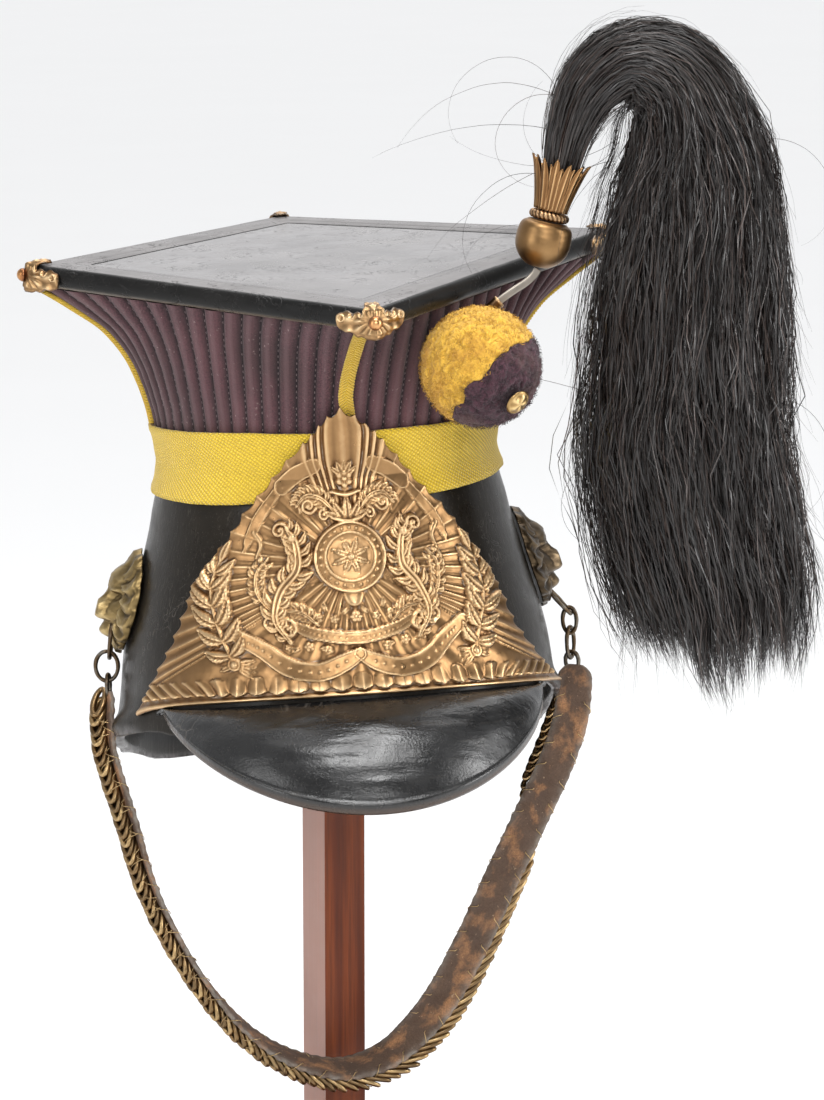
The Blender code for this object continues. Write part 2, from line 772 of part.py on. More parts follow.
def build_plate(hat):
    plate = Solid()
    outline = plate_outline()
    front = []
    for share, ridge, valley in PLATE_RINGS:
        row = []
        for angle, height, tip in outline:
            pull = 1.0 if tip else 1.0 - SCALLOP_DEPTH / (PLATE_TOP * 0.5)
            at, up = towards_centre(angle, height, share * pull)
            relief = PLATE_RELIEF * (ridge if tip else valley)
            row.append(plate_point(at, up, PLATE_THICKNESS + relief))
        front.append(row)
    half = outline[::2]
    for share, ridge, valley in PLATE_INNER_RINGS:
        row = []
        for index, (angle, height, _) in enumerate(half):
            at, up = towards_centre(angle, height, share)
            relief = PLATE_RELIEF * (ridge if index % 2 else valley)
            row.append(plate_point(at, up, PLATE_THICKNESS + relief))
        front.append(row)
    loops = [plate.ring(row) for row in front]
    for first, second in zip(loops, loops[1:]):
        plate.strip(first, second)
    plate.fan(loops[-1], plate_point(0.0, PLATE_CENTRE, PLATE_THICKNESS + PLATE_RELIEF * 1.3))
    back = [[plate_point(angle * (1.0 if tip else 1.0 - SCALLOP_DEPTH / (PLATE_TOP * 0.5)),
                         mix(PLATE_CENTRE, height, 1.0 if tip else 1.0 - SCALLOP_DEPTH / (PLATE_TOP * 0.5)))
             for angle, height, tip in outline]]
    for share in PLATE_BACK_RINGS:
        back.append([plate_point(*towards_centre(angle, height, share)) for angle, height, _ in half])
    backs = [plate.ring(row) for row in back]
    for first, second in zip(backs, backs[1:]):
        plate.strip(first, second)
    plate.fan(backs[-1], plate_point(0.0, PLATE_CENTRE))
    plate.strip(loops[0], backs[0])
    plate.make("front_plate", "gilt", hat)


# Lion bosses and rings


def link(name, half_height, half_width, wire, place, parent, sides=5, steps=12):
    ring = Solid()
    loops = []
    for step in range(steps):
        turn = 2 * math.pi * step / steps
        centre = Vector((half_width * math.cos(turn), 0.0, half_height * math.sin(turn)))
        out = Vector((math.cos(turn) * half_height, 0.0, math.sin(turn) * half_width)).normalized()
        loop = []
        for side in range(sides):
            roll = 2 * math.pi * side / sides
            loop.append(centre + out * wire * math.cos(roll) + Vector((0, wire * math.sin(roll), 0)))
        loops.append(loop)
    ring.tube(loops, closed_path=True)
    return ring.make(name, "brass", parent, place)


def cut_for(piece, name, half_height, half_width, place, parent):
    """Cuts a way through a piece for a ring that passes through it."""
    cutter = link(name, half_height, half_width, WIRE + 2 * GAP, place, parent, 8, 16)
    cutter.hide_render = True
    cutter.display_type = "WIRE"
    cut = piece.modifiers.new("ring hole", "BOOLEAN")
    cut.operation = "DIFFERENCE"
    cut.object = cutter


def boss_point(side, across, up, lift):
    """Point over the skull's side, by its run round the skull and up from the boss's middle."""
    height = (BOSS_HEIGHT_LEFT if side < 0 else BOSS_HEIGHT_RIGHT) + up
    half_length = skull_axes(height)[1]
    angle = BOSS_ANGLE - math.degrees(across / half_length)
    return skull_point(side * angle, height, BOSS_EASE + lift)


def build_boss(hat, side, name):
    boss = Solid()
    columns = 20
    loops = []
    for share, proud, drop, mane in BOSS_RINGS:
        row = []
        for column in range(columns):
            turn = 2 * math.pi * column / columns
            reach = BOSS_RADIUS * share * (1.0 - mane * (column % 2))
            across = reach * math.cos(turn) * BOSS_NARROWING
            up = reach * math.sin(turn) - BOSS_MUZZLE_DROP * drop
            lift = BOSS_EDGE + (BOSS_PROUD - BOSS_EDGE) * proud if share < 1 else 0.0
            row.append(boss_point(side, across, up, lift))
        loops.append(boss.ring(row))
    for first, second in zip(loops, loops[1:]):
        boss.strip(first, second)
    boss.fan(loops[-1], boss_point(side, 0.0, -BOSS_MUZZLE_DROP, BOSS_PROUD))
    boss.fan(loops[0], boss_point(side, 0.0, 0.0, 0.0))
    return boss.make(name, "brass", hat)


def hung(place, turn, lean=0.0):
    """Place of a ring, turned about Z and then leaned to the side."""
    tilted = Matrix.Rotation(math.radians(-lean), 4, "Y") @ Matrix.Rotation(math.radians(turn), 4, "Z")
    return Matrix.Translation(place) @ tilted


def ring_row(hat, mouth_name, mouth, lean, links, boss, strap):
    """Mouth ring and the links that hang in turn below it, down to the strap."""
    side = "left" if boss.name.endswith("left") else "right"
    (high, wide), place, turn = mouth[0], Vector(mouth[1]), MOUTH_RING_TURN
    link(mouth_name, high, wide, WIRE, hung(place, turn, lean), hat)
    cut_for(boss, "mouth_hole_" + side, high, wide, hung(place, turn, lean), hat)
    swing = math.radians(lean)
    place = place + Vector((high * math.sin(swing), 0.0, high - high * math.cos(swing)))
    for name, (high_next, wide), turn, out in links:
        place = place + Vector((out, 0.0, 2 * WIRE + LINK_EASE - high - high_next))
        high = high_next
        link(name, high, wide, WIRE, hung(place, turn), hat)
    cut_for(strap, "strap_hole_" + side, high, wide, hung(place, turn), hat)


def build_rings(hat, left_boss, right_boss, strap):
    """Rings and links from each lion's mouth to the strap, each hanging in the one above."""
    ring_row(hat, "mouth_ring_left", (MOUTH_RING_LEFT, MOUTH_RING_LEFT_AT), MOUTH_RING_LEFT_LEAN,
             LEFT_LINKS, left_boss, strap)
    ring_row(hat, "mouth_ring_right", (MOUTH_RING_RIGHT, MOUTH_RING_RIGHT_AT), MOUTH_RING_RIGHT_LEAN,
             RIGHT_LINKS, right_boss, strap)


# Chin strap


def smooth_route(route, count):
    """Catmull-Rom curve through the rows of a route, with count points."""
    before = tuple(2 * a - b for a, b in zip(route[0], route[1]))
    after = tuple(2 * a - b for a, b in zip(route[-1], route[-2]))
    ends = (before, *route, after)
    made = []
    for step in range(count):
        run = step / (count - 1) * (len(route) - 1)
        index = min(int(run), len(route) - 2)
        t = run - index
        row = []
        for a, b, c, d in zip(*ends[index:index + 4]):
            square, cube = 2 * a - 5 * b + 4 * c - d, 3 * b - a - 3 * c + d
            row.append(0.5 * (2 * b + (c - a) * t + square * t * t + cube * t ** 3))
        made.append(tuple(row))
    return made


def strap_frames(count):
    """Position, across and outward direction along the strap."""
    points = smooth_route(STRAP_ROUTE, count)
    frames = []
    for index, row in enumerate(points):
        here = Vector(row[:3])
        before = Vector(points[max(index - 1, 0)][:3])
        after = Vector(points[min(index + 1, count - 1)][:3])
        along = (after - before).normalized()
        plane_out = along.cross(Vector((0.0, -1.0, 0.0))).normalized()
        front = plane_out.cross(along)
        twist = math.radians(row[3])
        outward = (plane_out * math.cos(twist) + front * math.sin(twist)).normalized()
        across = along.cross(outward).normalized()
        frames.append((here, across, outward))
    return frames


def build_strap(hat):
    leather = Solid()
    sections = []
    frames = strap_frames(35)
    for index, (here, across, outward) in enumerate(frames):
        ends = min(index, len(frames) - 1 - index)
        half = STRAP_WIDTH / 2 * (0.62, 0.90, 1.0)[min(ends, 2)]
        thick = outward * STRAP_THICKNESS / 2
        wide = across * half
        sections.append([here - wide - thick, here + wide - thick, here + wide + thick, here - wide + thick])
    leather.tube(sections)
    strap = leather.make("strap_leather", "strap", hat)

    chain = Solid()
    count = 73
    frames = strap_frames(count)
    sections = []
    start, end = CHAIN_SPAN
    for index in range(round(start * count), round(end * count)):
        here, across, outward = frames[index]
        near = here + outward * (STRAP_THICKNESS / 2 + 3 * GAP)
        half = CHAIN_WIDTH / 2 - (CHAIN_SCALLOP if index % 2 else 0.0)
        high = CHAIN_THICKNESS * (1.0 if index % 2 else CHAIN_SHOULDER)
        foot, crest = across * half * CHAIN_SHOULDER, across * half * CHAIN_CREST
        rise = outward * high
        sections.append([
            near - foot, near + foot, near + across * half + rise / 2, near + crest + rise,
            near - crest + rise, near - across * half + rise / 2])
    chain.tube(sections)
    chain.make("strap_chain", "brass", hat)
    return strap


# Cockade, plume holder and plume


def turned(name, profile, colour, parent, place, steps=14):
    """Solid of revolution about Z from a radius and height profile that starts and ends at 0."""
    solid = Solid()
    loops = []
    for radius, height in profile[1:-1]:
        loops.append(solid.ring([
            (radius * math.cos(2 * math.pi * s / steps), radius * math.sin(2 * math.pi * s / steps), height)
            for s in range(steps)]))
    for first, second in zip(loops, loops[1:]):
        solid.strip(first, second)
    solid.fan(loops[0], (0, 0, profile[0][1]))
    solid.fan(loops[-1], (0, 0, profile[-1][1]))
    return solid.make(name, colour, parent, place)


def facing(location, direction):
    turn = Vector(direction).to_track_quat("Z", "Y").to_matrix().to_4x4()
    return Matrix.Translation(location) @ turn


def ball_part(name, colour, parent, start, end, flat, rows):
    """Part of the woollen ball between two heights on its axis, closed by a flat disc."""
    solid = Solid()
    columns = 20
    loops = []
    for row in range(rows):
        polar = math.radians(mix(start, end, row / rows))
        loop = []
        for column in range(columns):
            tuft = TUFT_DEPTH * (1 if (column + row) % 2 else 0)
            turn = 2 * math.pi * (column + 0.5 * (row % 2)) / columns
            radius = COCKADE_RADIUS - tuft
            loop.append((radius * math.sin(polar) * math.cos(turn), radius * math.sin(polar) * math.sin(turn),
                         radius * math.cos(polar) if row else flat))
        loops.append(solid.ring(loop))
    for first, second in zip(loops, loops[1:]):
        solid.strip(first, second)
    solid.face(loops[0])
    pole = math.cos(math.radians(end)) * COCKADE_RADIUS
    solid.fan(loops[-1], (0, 0, pole))
    return solid.make(name, colour, parent, facing(COCKADE_AT, COCKADE_AXIS))


def build_cockade(hat):
    split = math.degrees(math.acos(COCKADE_SPLIT / COCKADE_RADIUS))
    ball_part("cockade_purple", "cloth", hat, split, 0.0, COCKADE_SPLIT + GAP, 5)
    ball_part("cockade_yellow", "yellow", hat, split, 180.0, COCKADE_SPLIT, 8)
    place = Vector(COCKADE_AT) + Vector(BUTTON_DIRECTION) * (COCKADE_RADIUS + 2 * GAP)
    profile = ((0, 0), (0.9, 0), (1.0, 0.10), (0.7, 0.34), (0, 0.46))
    profile = [(radius * BUTTON_RADIUS, height * BUTTON_RADIUS) for radius, height in profile]
    turned("cockade_button", profile, "gilt", hat, facing(place, BUTTON_DIRECTION), 12)


def build_holder(hat):
    foot, mouth = Vector(SOCKET_FOOT), Vector(SOCKET_MOUTH)
    axis = mouth - foot
    length = axis.length
    tube = Solid()
    loops = []
    bore = SOCKET_RADIUS - SOCKET_WALL
    profile = ((SOCKET_RADIUS, 0.0), (SOCKET_RADIUS, length), (bore, length), (bore, SOCKET_WALL * 2))
    for radius, height in profile:
        loops.append(tube.ring([
            (radius * math.cos(math.pi * s / 6), radius * math.sin(math.pi * s / 6), height)
            for s in range(12)]))
    for first, second in zip(loops, loops[1:]):
        tube.strip(first, second)
    tube.face(loops[0])
    tube.face(loops[-1])
    tube.make("plume_socket", "brass", hat, facing(foot, axis))

    stem = Solid()
    points = [Vector(row) for row in smooth_route(STEM_ROUTE, 9)]
    sections = []
    for index, here in enumerate(points):
        along = (points[min(index + 1, 8)] - points[max(index - 1, 0)]).normalized()
        thick = Vector((0.0, 1.0, 0.0)) * STEM_THICKNESS / 2
        wide = along.cross(thick).normalized() * STEM_WIDTH / 2
        sections.append([here - wide - thick, here + wide - thick, here + wide + thick, here - wide + thick])
    stem.tube(sections)
    stem.make("plume_stem", "steel", hat)

    lean = Matrix.Translation(HOLDER_AT) @ Matrix.Rotation(HOLDER_LEAN, 4, "Y")
    shares = ((0, -0.98), (0.36, -0.95), (0.72, -0.72), (0.96, -0.36), (1.0, 0.0), (0.93, 0.42),
              (0.62, 0.60), (0.60, BALL_NECK), (0, BALL_NECK))
    turned("plume_ball", [(r * BALL_RADIUS, z * BALL_RADIUS) for r, z in shares], "brass", hat, lean, 16)

    collar = Solid()
    loops = []
    for step in range(14):
        turn = math.pi * step / 7
        out = Vector((math.cos(turn), math.sin(turn), 0))
        loops.append([out * (COLLAR_RADIUS - COLLAR_WIRE + COLLAR_WIRE * math.cos(side * math.pi / 3))
                      + Vector((0, 0, COLLAR_HEIGHT + COLLAR_WIRE * math.sin(side * math.pi / 3)))
                      for side in range(6)])
    collar.tube(loops, closed_path=True)
    collar.make("plume_collar", "brass", hat, lean)

    cup = Solid()
    count = LEAF_COUNT * 2
    bottom = COLLAR_HEIGHT + COLLAR_WIRE + GAP
    levels = ((0.0, 1.0, 1.0), (0.45, 1.18, 1.12), (1.0, LEAF_TIP_RADIUS / LEAF_CUP_RADIUS, 1.45))
    walls = []
    for inward in (0.0, LEAF_WALL):
        wall = []
        for share, tip, notch in levels:
            row = []
            for step in range(count):
                turn = 2 * math.pi * step / count
                is_tip = step % 2 == 0
                radius = LEAF_CUP_RADIUS * (tip if is_tip else notch) - inward
                high = LEAF_HEIGHT * (share if is_tip else share * 0.72)
                row.append((radius * math.cos(turn), radius * math.sin(turn), bottom + high))
            wall.append(row)
        walls.append(wall)
    rows = walls[0] + walls[1][::-1]
    cup.tube(rows, closed_path=True)
    cup.make("plume_leaves", "brass", hat, lean)


def hair_section(row, along, lobes):
    """Points round the plume: a ridge and a groove for each lock."""
    centre = Vector(row[:3])
    side = Vector((0.0, 1.0, 0.0))
    wide = along.cross(side).normalized()
    points = []
    for step in range(lobes * 2):
        turn = math.pi * step / lobes
        groove = 1.0 - (HAIR_GROOVE if step % 2 else 0.0)
        points.append(centre + wide * HAIR_WIDTH * row[3] * groove * math.cos(turn)
                      + side * HAIR_DEPTH * row[4] * groove * math.sin(turn))
    return points


def build_plume(hat):
    """The horse hair as one body: grooved between its locks, which end in their own tips."""
    plume = Solid()
    rows = smooth_route(HAIR_ROUTE, 17)
    sections = []
    for index, row in enumerate(rows):
        after, before = rows[min(index + 1, len(rows) - 1)], rows[max(index - 1, 0)]
        along = (Vector(after[:3]) - Vector(before[:3])).normalized()
        sections.append(hair_section(row, along, HAIR_LOCKS))
    loops = [plume.ring(points) for points in sections]
    for first, second in zip(loops, loops[1:]):
        plume.strip(first, second)
    plume.face(loops[0])
    last = rows[-1]
    centre = Vector(last[:3])
    tips = []
    for step, point in enumerate(sections[-1]):
        fall = LOCK_TIPS[step // 2] * HAIR_WIDTH * (1.0 if step % 2 == 0 else TIP_GROOVE_FALL)
        drift = (point.x - centre.x) * TIP_SPREAD
        tips.append(Vector((point.x + drift, mix(centre.y, point.y, TIP_GATHER), point.z - fall)))
    tip_loop = plume.ring(tips)
    plume.strip(loops[-1], tip_loop)
    plume.fan(tip_loop, centre - Vector((0, 0, HAIR_WIDTH * TIP_HOLLOW)))
    plume.make("plume_hair", "hair", hat)


def main():
    for thing in list(bpy.data.objects):
        bpy.data.objects.remove(thing, do_unlink=True)
    hat = empty("hat", (HAT_SHIFT, 0.0, HAT_HEIGHT), (0.0, -HAT_LEAN, 0.0))
    board = empty("board", (BOARD_SHIFT, 0.0, BOARD_HEIGHT), (BOARD_TILT, 0.0, BOARD_TURN), hat)
    build_stand(hat)
    build_skull(hat)
    build_peak(hat)
    build_crown(hat)
    build_piping(hat)
    build_band(hat)
    build_board(board)
    build_corner_leaves(board)
    build_plate(hat)
    left = build_boss(hat, -1, "lion_boss_left")
    right = build_boss(hat, 1, "lion_boss_right")
    strap = build_strap(hat)
    build_rings(hat, left, right, strap)
    build_cockade(hat)
    build_holder(hat)
    build_plume(hat)


main()
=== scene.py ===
"""Looks of the lancer chapka on its wooden stand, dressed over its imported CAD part.

Lengths are in metres. The hat leans a little on its stand: its own frame is HAT,
and its square top board has the frame BOARD. The front of the hat faces -Y.
"""

import itertools
import math

import bpy
import numpy as np
from mathutils import Euler, Matrix, Vector


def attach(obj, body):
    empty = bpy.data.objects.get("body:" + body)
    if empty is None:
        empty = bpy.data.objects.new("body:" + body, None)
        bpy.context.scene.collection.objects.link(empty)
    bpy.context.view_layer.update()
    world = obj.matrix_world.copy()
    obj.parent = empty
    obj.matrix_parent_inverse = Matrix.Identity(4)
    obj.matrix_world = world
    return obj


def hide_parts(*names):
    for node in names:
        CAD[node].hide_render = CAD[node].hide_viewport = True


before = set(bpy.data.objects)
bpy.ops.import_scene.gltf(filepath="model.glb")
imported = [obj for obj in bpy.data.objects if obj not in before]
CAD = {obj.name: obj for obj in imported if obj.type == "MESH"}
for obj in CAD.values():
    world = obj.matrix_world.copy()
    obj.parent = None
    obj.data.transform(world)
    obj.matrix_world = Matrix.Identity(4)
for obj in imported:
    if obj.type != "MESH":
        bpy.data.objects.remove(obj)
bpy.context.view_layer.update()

MM = 0.001
NOISE_CELLS = 24

# Placement of the hat and of its top board, as in the CAD part
HAT = Matrix.Translation((0.0013, 0.0, 0.266)) @ Matrix.Rotation(math.radians(-2.5), 4, "Y")
BOARD_SHIFT = 0.0022
BOARD_HEIGHT = 0.1577
BOARD_TILT = math.radians(3.2)
BOARD_TURN = math.radians(2.4)
BOARD = HAT @ Matrix.Translation((BOARD_SHIFT, 0.0, BOARD_HEIGHT)) @ Euler(
    (BOARD_TILT, 0.0, BOARD_TURN)).to_matrix().to_4x4()
BOARD_SIDE = 0.165
BOARD_THICKNESS = 0.0085
BOARD_CORNER = BOARD_SIDE / math.sqrt(2)
BOARD_WARP = 0.0028
BORDER_WIDTH = 0.0176

# Skull and peak
WAIST_HEIGHT = 0.0795
WAIST_RADIUS = 0.066
SKULL_HALF_WIDTH = 0.089
SKULL_HALF_LENGTH = 0.1015
SKULL_WALL = 0.0025
RIM_DROP = 0.064
PEAK_REACH = 0.137
PEAK_DROP = 0.0345
PEAK_HALF_WIDTH = 0.0745
PEAK_HALF_ANGLE = 60.0
PEAK_WALL = 0.0022
PEAK_BULGE = 0.0065
PEAK_TURN = math.radians(-2.5)

# Crown and trim
CROWN_HEIGHT = 0.0715
CROWN_INSET = 0.0045
CROWN_WALL = 0.0018
CROWN_FOOT_GAP = 0.0006
CROWN_TOP_GAP = 0.0003
FLUTES_PER_SIDE = 16
BAND_EASE = 0.0009
BAND_THICKNESS = 0.0012
PIPING_WIDTH = 0.0056
PIPING_THICKNESS = 0.0012

# Front plate
PLATE_TOP = 0.1078
PLATE_BASE = 0.0008
PLATE_BASE_FALL = 0.016
PLATE_HALF_ANGLE = 75.0
PLATE_CENTRE = 0.049
PLATE_EASE = 0.0017
PLATE_OVER_BAND = 0.0034
SCALLOPS_PER_SIDE = 18
PLATE_RUN = 1.36

# Height over the waist's height, flare from the waist's radius (0) to the widest half width and length (1)
SKULL_SECTION = (
    (1.00, 0.00), (0.85, 0.10), (0.75, 0.19), (0.65, 0.26), (0.50, 0.40), (0.31, 0.58),
    (0.15, 0.73), (0.00, 0.835), (-0.18, 0.91), (-0.36, 1.00), (-0.85, 1.08))
# Angle from the front in degrees, drop of the leather's rim as a share of the largest one
RIM_LINE = (
    (0, 0.00), (30, 0.05), (51, 0.13), (66, 0.20), (78, 0.31), (90, 0.44), (102, 0.61),
    (114, 0.76), (136, 0.93), (158, 0.985), (180, 1.00))
# Height share, flare at the corners, flare at the sides' middles, depth of the flutes
CROWN_SECTION = (
    (0.00, 0.000, 0.000, 0.35), (0.26, 0.060, 0.150, 0.60), (0.52, 0.190, 0.410, 1.05),
    (0.72, 0.400, 0.660, 1.20), (0.87, 0.700, 0.840, 1.30), (1.00, 1.000, 1.000, 1.30))
# Moves of the plate's left edge, middle and right edge round the hat, in degrees, by height share
PLATE_LEAN = (
    (0.00, 6.0, 0.0, -1.0), (0.05, 1.5, -0.3, -1.5), (0.15, -1.5, -0.6, -3.0), (0.243, -2.3, -0.8, -4.0),
    (0.376, -5.0, -1.1, -0.6), (0.444, -6.4, -1.2, 0.0), (0.544, -4.9, -1.2, 1.0), (0.645, -2.4, -1.2, -1.6),
    (0.711, -2.3, -1.3, -2.2), (0.809, -2.3, -1.6, -1.8), (0.872, -0.6, -1.9, -2.8), (0.922, 0.4, -2.2, -3.8),
    (0.961, 0.8, -2.5, -5.4), (1.000, -2.7, -2.7, -2.7))
# Height share of the plate, share of its half angle that its side reaches there
PLATE_SIDE = (
    (1.000, 0.000), (0.970, 0.095), (0.905, 0.165), (0.830, 0.235), (0.750, 0.325),
    (0.667, 0.420), (0.560, 0.500), (0.440, 0.590), (0.330, 0.665), (0.230, 0.735),
    (0.130, 0.815), (0.055, 0.900), (0.000, 1.000))


# Numbers and curves


def mix(first, second, share):
    return first + (second - first) * share


def curve(rows, value, column=1):
    """Smooth curve through a column of a table, at values of its first column."""
    rows = np.array(sorted(rows), float)
    x, y = rows[:, 0], rows[:, column]
    step = np.diff(x)
    slope = np.diff(y) / step
    bend = np.zeros(len(x))
    pair = slope[1:] * slope[:-1]
    total = slope[1:] + slope[:-1]
    bend[1:-1] = np.where(pair > 0, 2 * pair / np.where(total == 0, 1, total), 0)
    bend[0], bend[-1] = slope[0], slope[-1]
    value = np.clip(np.asarray(value, float), x[0], x[-1])
    i = np.clip(np.searchsorted(x, value, side="right") - 1, 0, len(x) - 2)
    t = (value - x[i]) / step[i]
    return ((1 + 2 * t) * (1 - t) ** 2 * y[i] + t * (1 - t) ** 2 * step[i] * bend[i]
            + t * t * (3 - 2 * t) * y[i + 1] + t * t * (t - 1) * step[i] * bend[i + 1])


def ease(low, high, value):
    """Smooth step from 0 at low to 1 at high."""
    t = np.clip((np.asarray(value, float) - low) / (high - low), 0.0, 1.0)
    return t * t * (3 - 2 * t)


def bell(value, middle, width):
    return np.exp(-((value - middle) / width) ** 2)


def clamp(value):
    return np.clip(value, 0.0, 1.0)


def full_turn(count):
    """Angles of an open round of count steps."""
    return np.linspace(0, 2 * np.pi, count, endpoint=False)


def grid_of(rows, cols):
    """The values of rows and of cols at each point of a grid."""
    return np.meshgrid(rows, cols, indexing="ij")


def joined(*parts):
    """Points or directions from their coordinates, each an array or one number."""
    return np.stack(np.broadcast_arrays(*parts), -1)


def signed(angle):
    """The same angle from -180 to 180 degrees."""
    return (np.asarray(angle, float) + 180) % 360 - 180


def noise(points, size, seed):
    """Smooth noise from -1 to 1 with features of about the given size."""
    cells = np.random.default_rng(seed).uniform(-1, 1, (NOISE_CELLS,) * 3)
    at = np.asarray(points, float) / size
    low = np.floor(at).astype(int)
    part = at - low
    part = part * part * (3 - 2 * part)
    low %= NOISE_CELLS
    corners, weights = (low, (low + 1) % NOISE_CELLS), (1 - part, part)
    total = 0.0
    for a, b, c in itertools.product((0, 1), repeat=3):
        weight = weights[a][..., 0] * weights[b][..., 1] * weights[c][..., 2]
        total = total + weight * cells[corners[a][..., 0], corners[b][..., 1], corners[c][..., 2]]
    return total


def rough_noise(points, size, seed, octaves=3):
    total = 0.0
    for step in range(octaves):
        total = total + noise(points, size / 2 ** step, seed + step) / 2 ** step
    return total


def smooth_route(route, count):
    """Catmull-Rom curve through the rows of a route, with count points."""
    rows = np.array(route, float)
    ends = np.vstack([2 * rows[0] - rows[1], rows, 2 * rows[-1] - rows[-2]])
    run = np.linspace(0, len(rows) - 1, count)
    i = np.minimum(run.astype(int), len(rows) - 2)
    t = (run - i)[:, None]
    a, b, c, d = ends[i], ends[i + 1], ends[i + 2], ends[i + 3]
    return 0.5 * (2 * b + (c - a) * t + (2 * a - 5 * b + 4 * c - d) * t * t + (3 * b - a - 3 * c + d) * t ** 3)


def run_of(points):
    """Distance along a line at each of its points."""
    return np.concatenate([[0], np.cumsum(np.linalg.norm(np.diff(points, axis=0), axis=1))])


def columns_at(at, run, rows):
    """Rows of a table at distances along its run."""
    return np.stack([np.interp(at, run, rows[:, k]) for k in range(rows.shape[1])], -1)


def even_route(route, pitch):
    """The same curve with points at an even pitch."""
    fine = smooth_route(route, 1500)
    run = run_of(fine[:, :3])
    return columns_at(np.linspace(0, run[-1], int(run[-1] / pitch) + 1), run, fine)


def unit(vectors):
    vectors = np.asarray(vectors, float)
    return vectors / np.maximum(np.linalg.norm(vectors, axis=-1, keepdims=True), 1e-12)


def tangents(points):
    return unit(np.gradient(points, axis=0))


def flat_out(points):
    """Level direction away from the z axis."""
    return unit(points * (1, 1, 0))


def local_relief(field, reach):
    """How far each height of a grid stands above the mean round it."""
    wide = np.pad(field, reach, mode="edge").cumsum(0).cumsum(1)
    wide = np.pad(wide, ((1, 0), (1, 0)))
    n = 2 * reach + 1
    return field - (wide[n:, n:] - wide[:-n, n:] - wide[n:, :-n] + wide[:-n, :-n]) / n ** 2


# Meshes


def grid_faces(rows, cols, wrap=False, wrap_rows=False):
    """Quads of a grid of points numbered row by row, joined across its edges where it wraps."""
    r = np.arange(rows if wrap_rows else rows - 1)[:, None]
    c = np.arange(cols if wrap else cols - 1)[None, :]
    below, after = (r + 1) % rows, (c + 1) % cols
    quads = joined(r * cols + c, r * cols + after, below * cols + after, below * cols + c)
    return quads.reshape(-1, 4)


def cap_faces(ring, centre):
    """Fan of triangles from a ring of points to the one in its middle."""
    return joined(ring, np.roll(ring, -1), np.full(len(ring), centre))


def added(name, data):
    """Object of the scene with the given data."""
    thing = bpy.data.objects.new(name, data)
    bpy.context.scene.collection.objects.link(thing)
    return thing


class Form:
    """Points, faces, map coordinates in millimetres and marks of one mesh."""

    def __init__(self):
        self.points, self.faces, self.maps, self.marks = [], [], [], []
        self.count = 0

    def add(self, points, faces, maps=None, marks=None):
        points = np.asarray(points, float).reshape(-1, 3)
        for part in faces if isinstance(faces, list) else [faces]:
            self.faces.append(np.asarray(part) + self.count)
        self.points.append(points)
        for kept, given, shape in ((self.maps, maps, (-1, 2)), (self.marks, marks, (-1,))):
            blank = np.zeros((len(points), 2)[:len(shape)])
            kept.append(blank if given is None else np.asarray(given, float).reshape(shape))
        self.count += len(points)
        return self

    def grid(self, points, wrap=False, wrap_rows=False, maps=None, marks=None):
        points = np.asarray(points, float)
        rows, cols = points.shape[:2]
        return self.add(points, grid_faces(rows, cols, wrap, wrap_rows), maps, marks)

    def tube(self, rings, maps=None, marks=None):
        """Rings joined in turn, with both ends closed by a fan."""
        rings = np.asarray(rings, float)
        rows, cols = rings.shape[:2]
        points = np.vstack([rings.reshape(-1, 3), rings[0].mean(0), rings[-1].mean(0)])
        faces = [grid_faces(rows, cols, True), cap_faces(np.arange(cols)[::-1], rows * cols),
                 cap_faces(np.arange(cols) + (rows - 1) * cols, rows * cols + 1)]
        if maps is not None:
            maps = np.vstack([np.asarray(maps).reshape(-1, 2), np.zeros((2, 2))])
        if marks is not None:
            marks = np.concatenate([np.asarray(marks).reshape(-1), [0, 0]])
        return self.add(points, faces, maps, marks)

    def make(self, name, skin, replaced=(), slot=None, place=HAT):
        """Blender object at its place, with its faces turned outwards."""
        points = placed(place, np.vstack(self.points))
        faces = self.faces
        volume = 0.0
        for part in faces:
            for k in range(1, part.shape[1] - 1):
                a, b, c = points[part[:, 0]], points[part[:, k]], points[part[:, k + 1]]
                volume += np.einsum("ij,ij->i", a - points[0], np.cross(b - points[0], c - points[0])).sum()
        if volume < 0:
            faces = [part[:, ::-1] for part in faces]
        mesh = bpy.data.meshes.new(name)
        mesh.vertices.add(len(points))
        mesh.vertices.foreach_set("co", points.astype(np.float32).ravel())
        loops = np.concatenate([part.ravel() for part in faces])
        sizes = np.concatenate([np.full(len(part), part.shape[1]) for part in faces])
        mesh.loops.add(len(loops))
        mesh.loops.foreach_set("vertex_index", loops.astype(np.int32))
        mesh.polygons.add(len(sizes))
        mesh.polygons.foreach_set("loop_start", (np.cumsum(sizes) - sizes).astype(np.int32))
        layer = mesh.uv_layers.new(name="UVMap")
        layer.data.foreach_set("uv", np.vstack(self.maps)[loops].astype(np.float32).ravel())
        mark = mesh.attributes.new("mark", "FLOAT", "POINT")
        mark.data.foreach_set("value", np.concatenate(self.marks).astype(np.float32))
        mesh.update(calc_edges=True)
        mesh.shade_smooth()
        mesh.materials.append(skin.made)
        thing = added(name, mesh)
        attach(thing, "root")
        if replaced:
            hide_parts(*replaced)


def ring_of(centre, first, second, radius, count):
    """Circles round centres, in the planes of two directions."""
    turn = full_turn(count)
    centre, first, second = (np.asarray(v, float)[..., None, :] for v in (centre, first, second))
    radius = np.asarray(radius, float)[..., None, None]
    return centre + radius * (first * np.cos(turn)[:, None] + second * np.sin(turn)[:, None])


def lathe(radius, level, count):
    """Level circles round the z axis."""
    return ring_of(joined(0.0, 0.0, level), (1, 0, 0), (0, 1, 0), radius, count)


def joined_sides(line, side):
    """The two edges of a ribbon along a line."""
    return np.stack([line - side, line + side], 1)


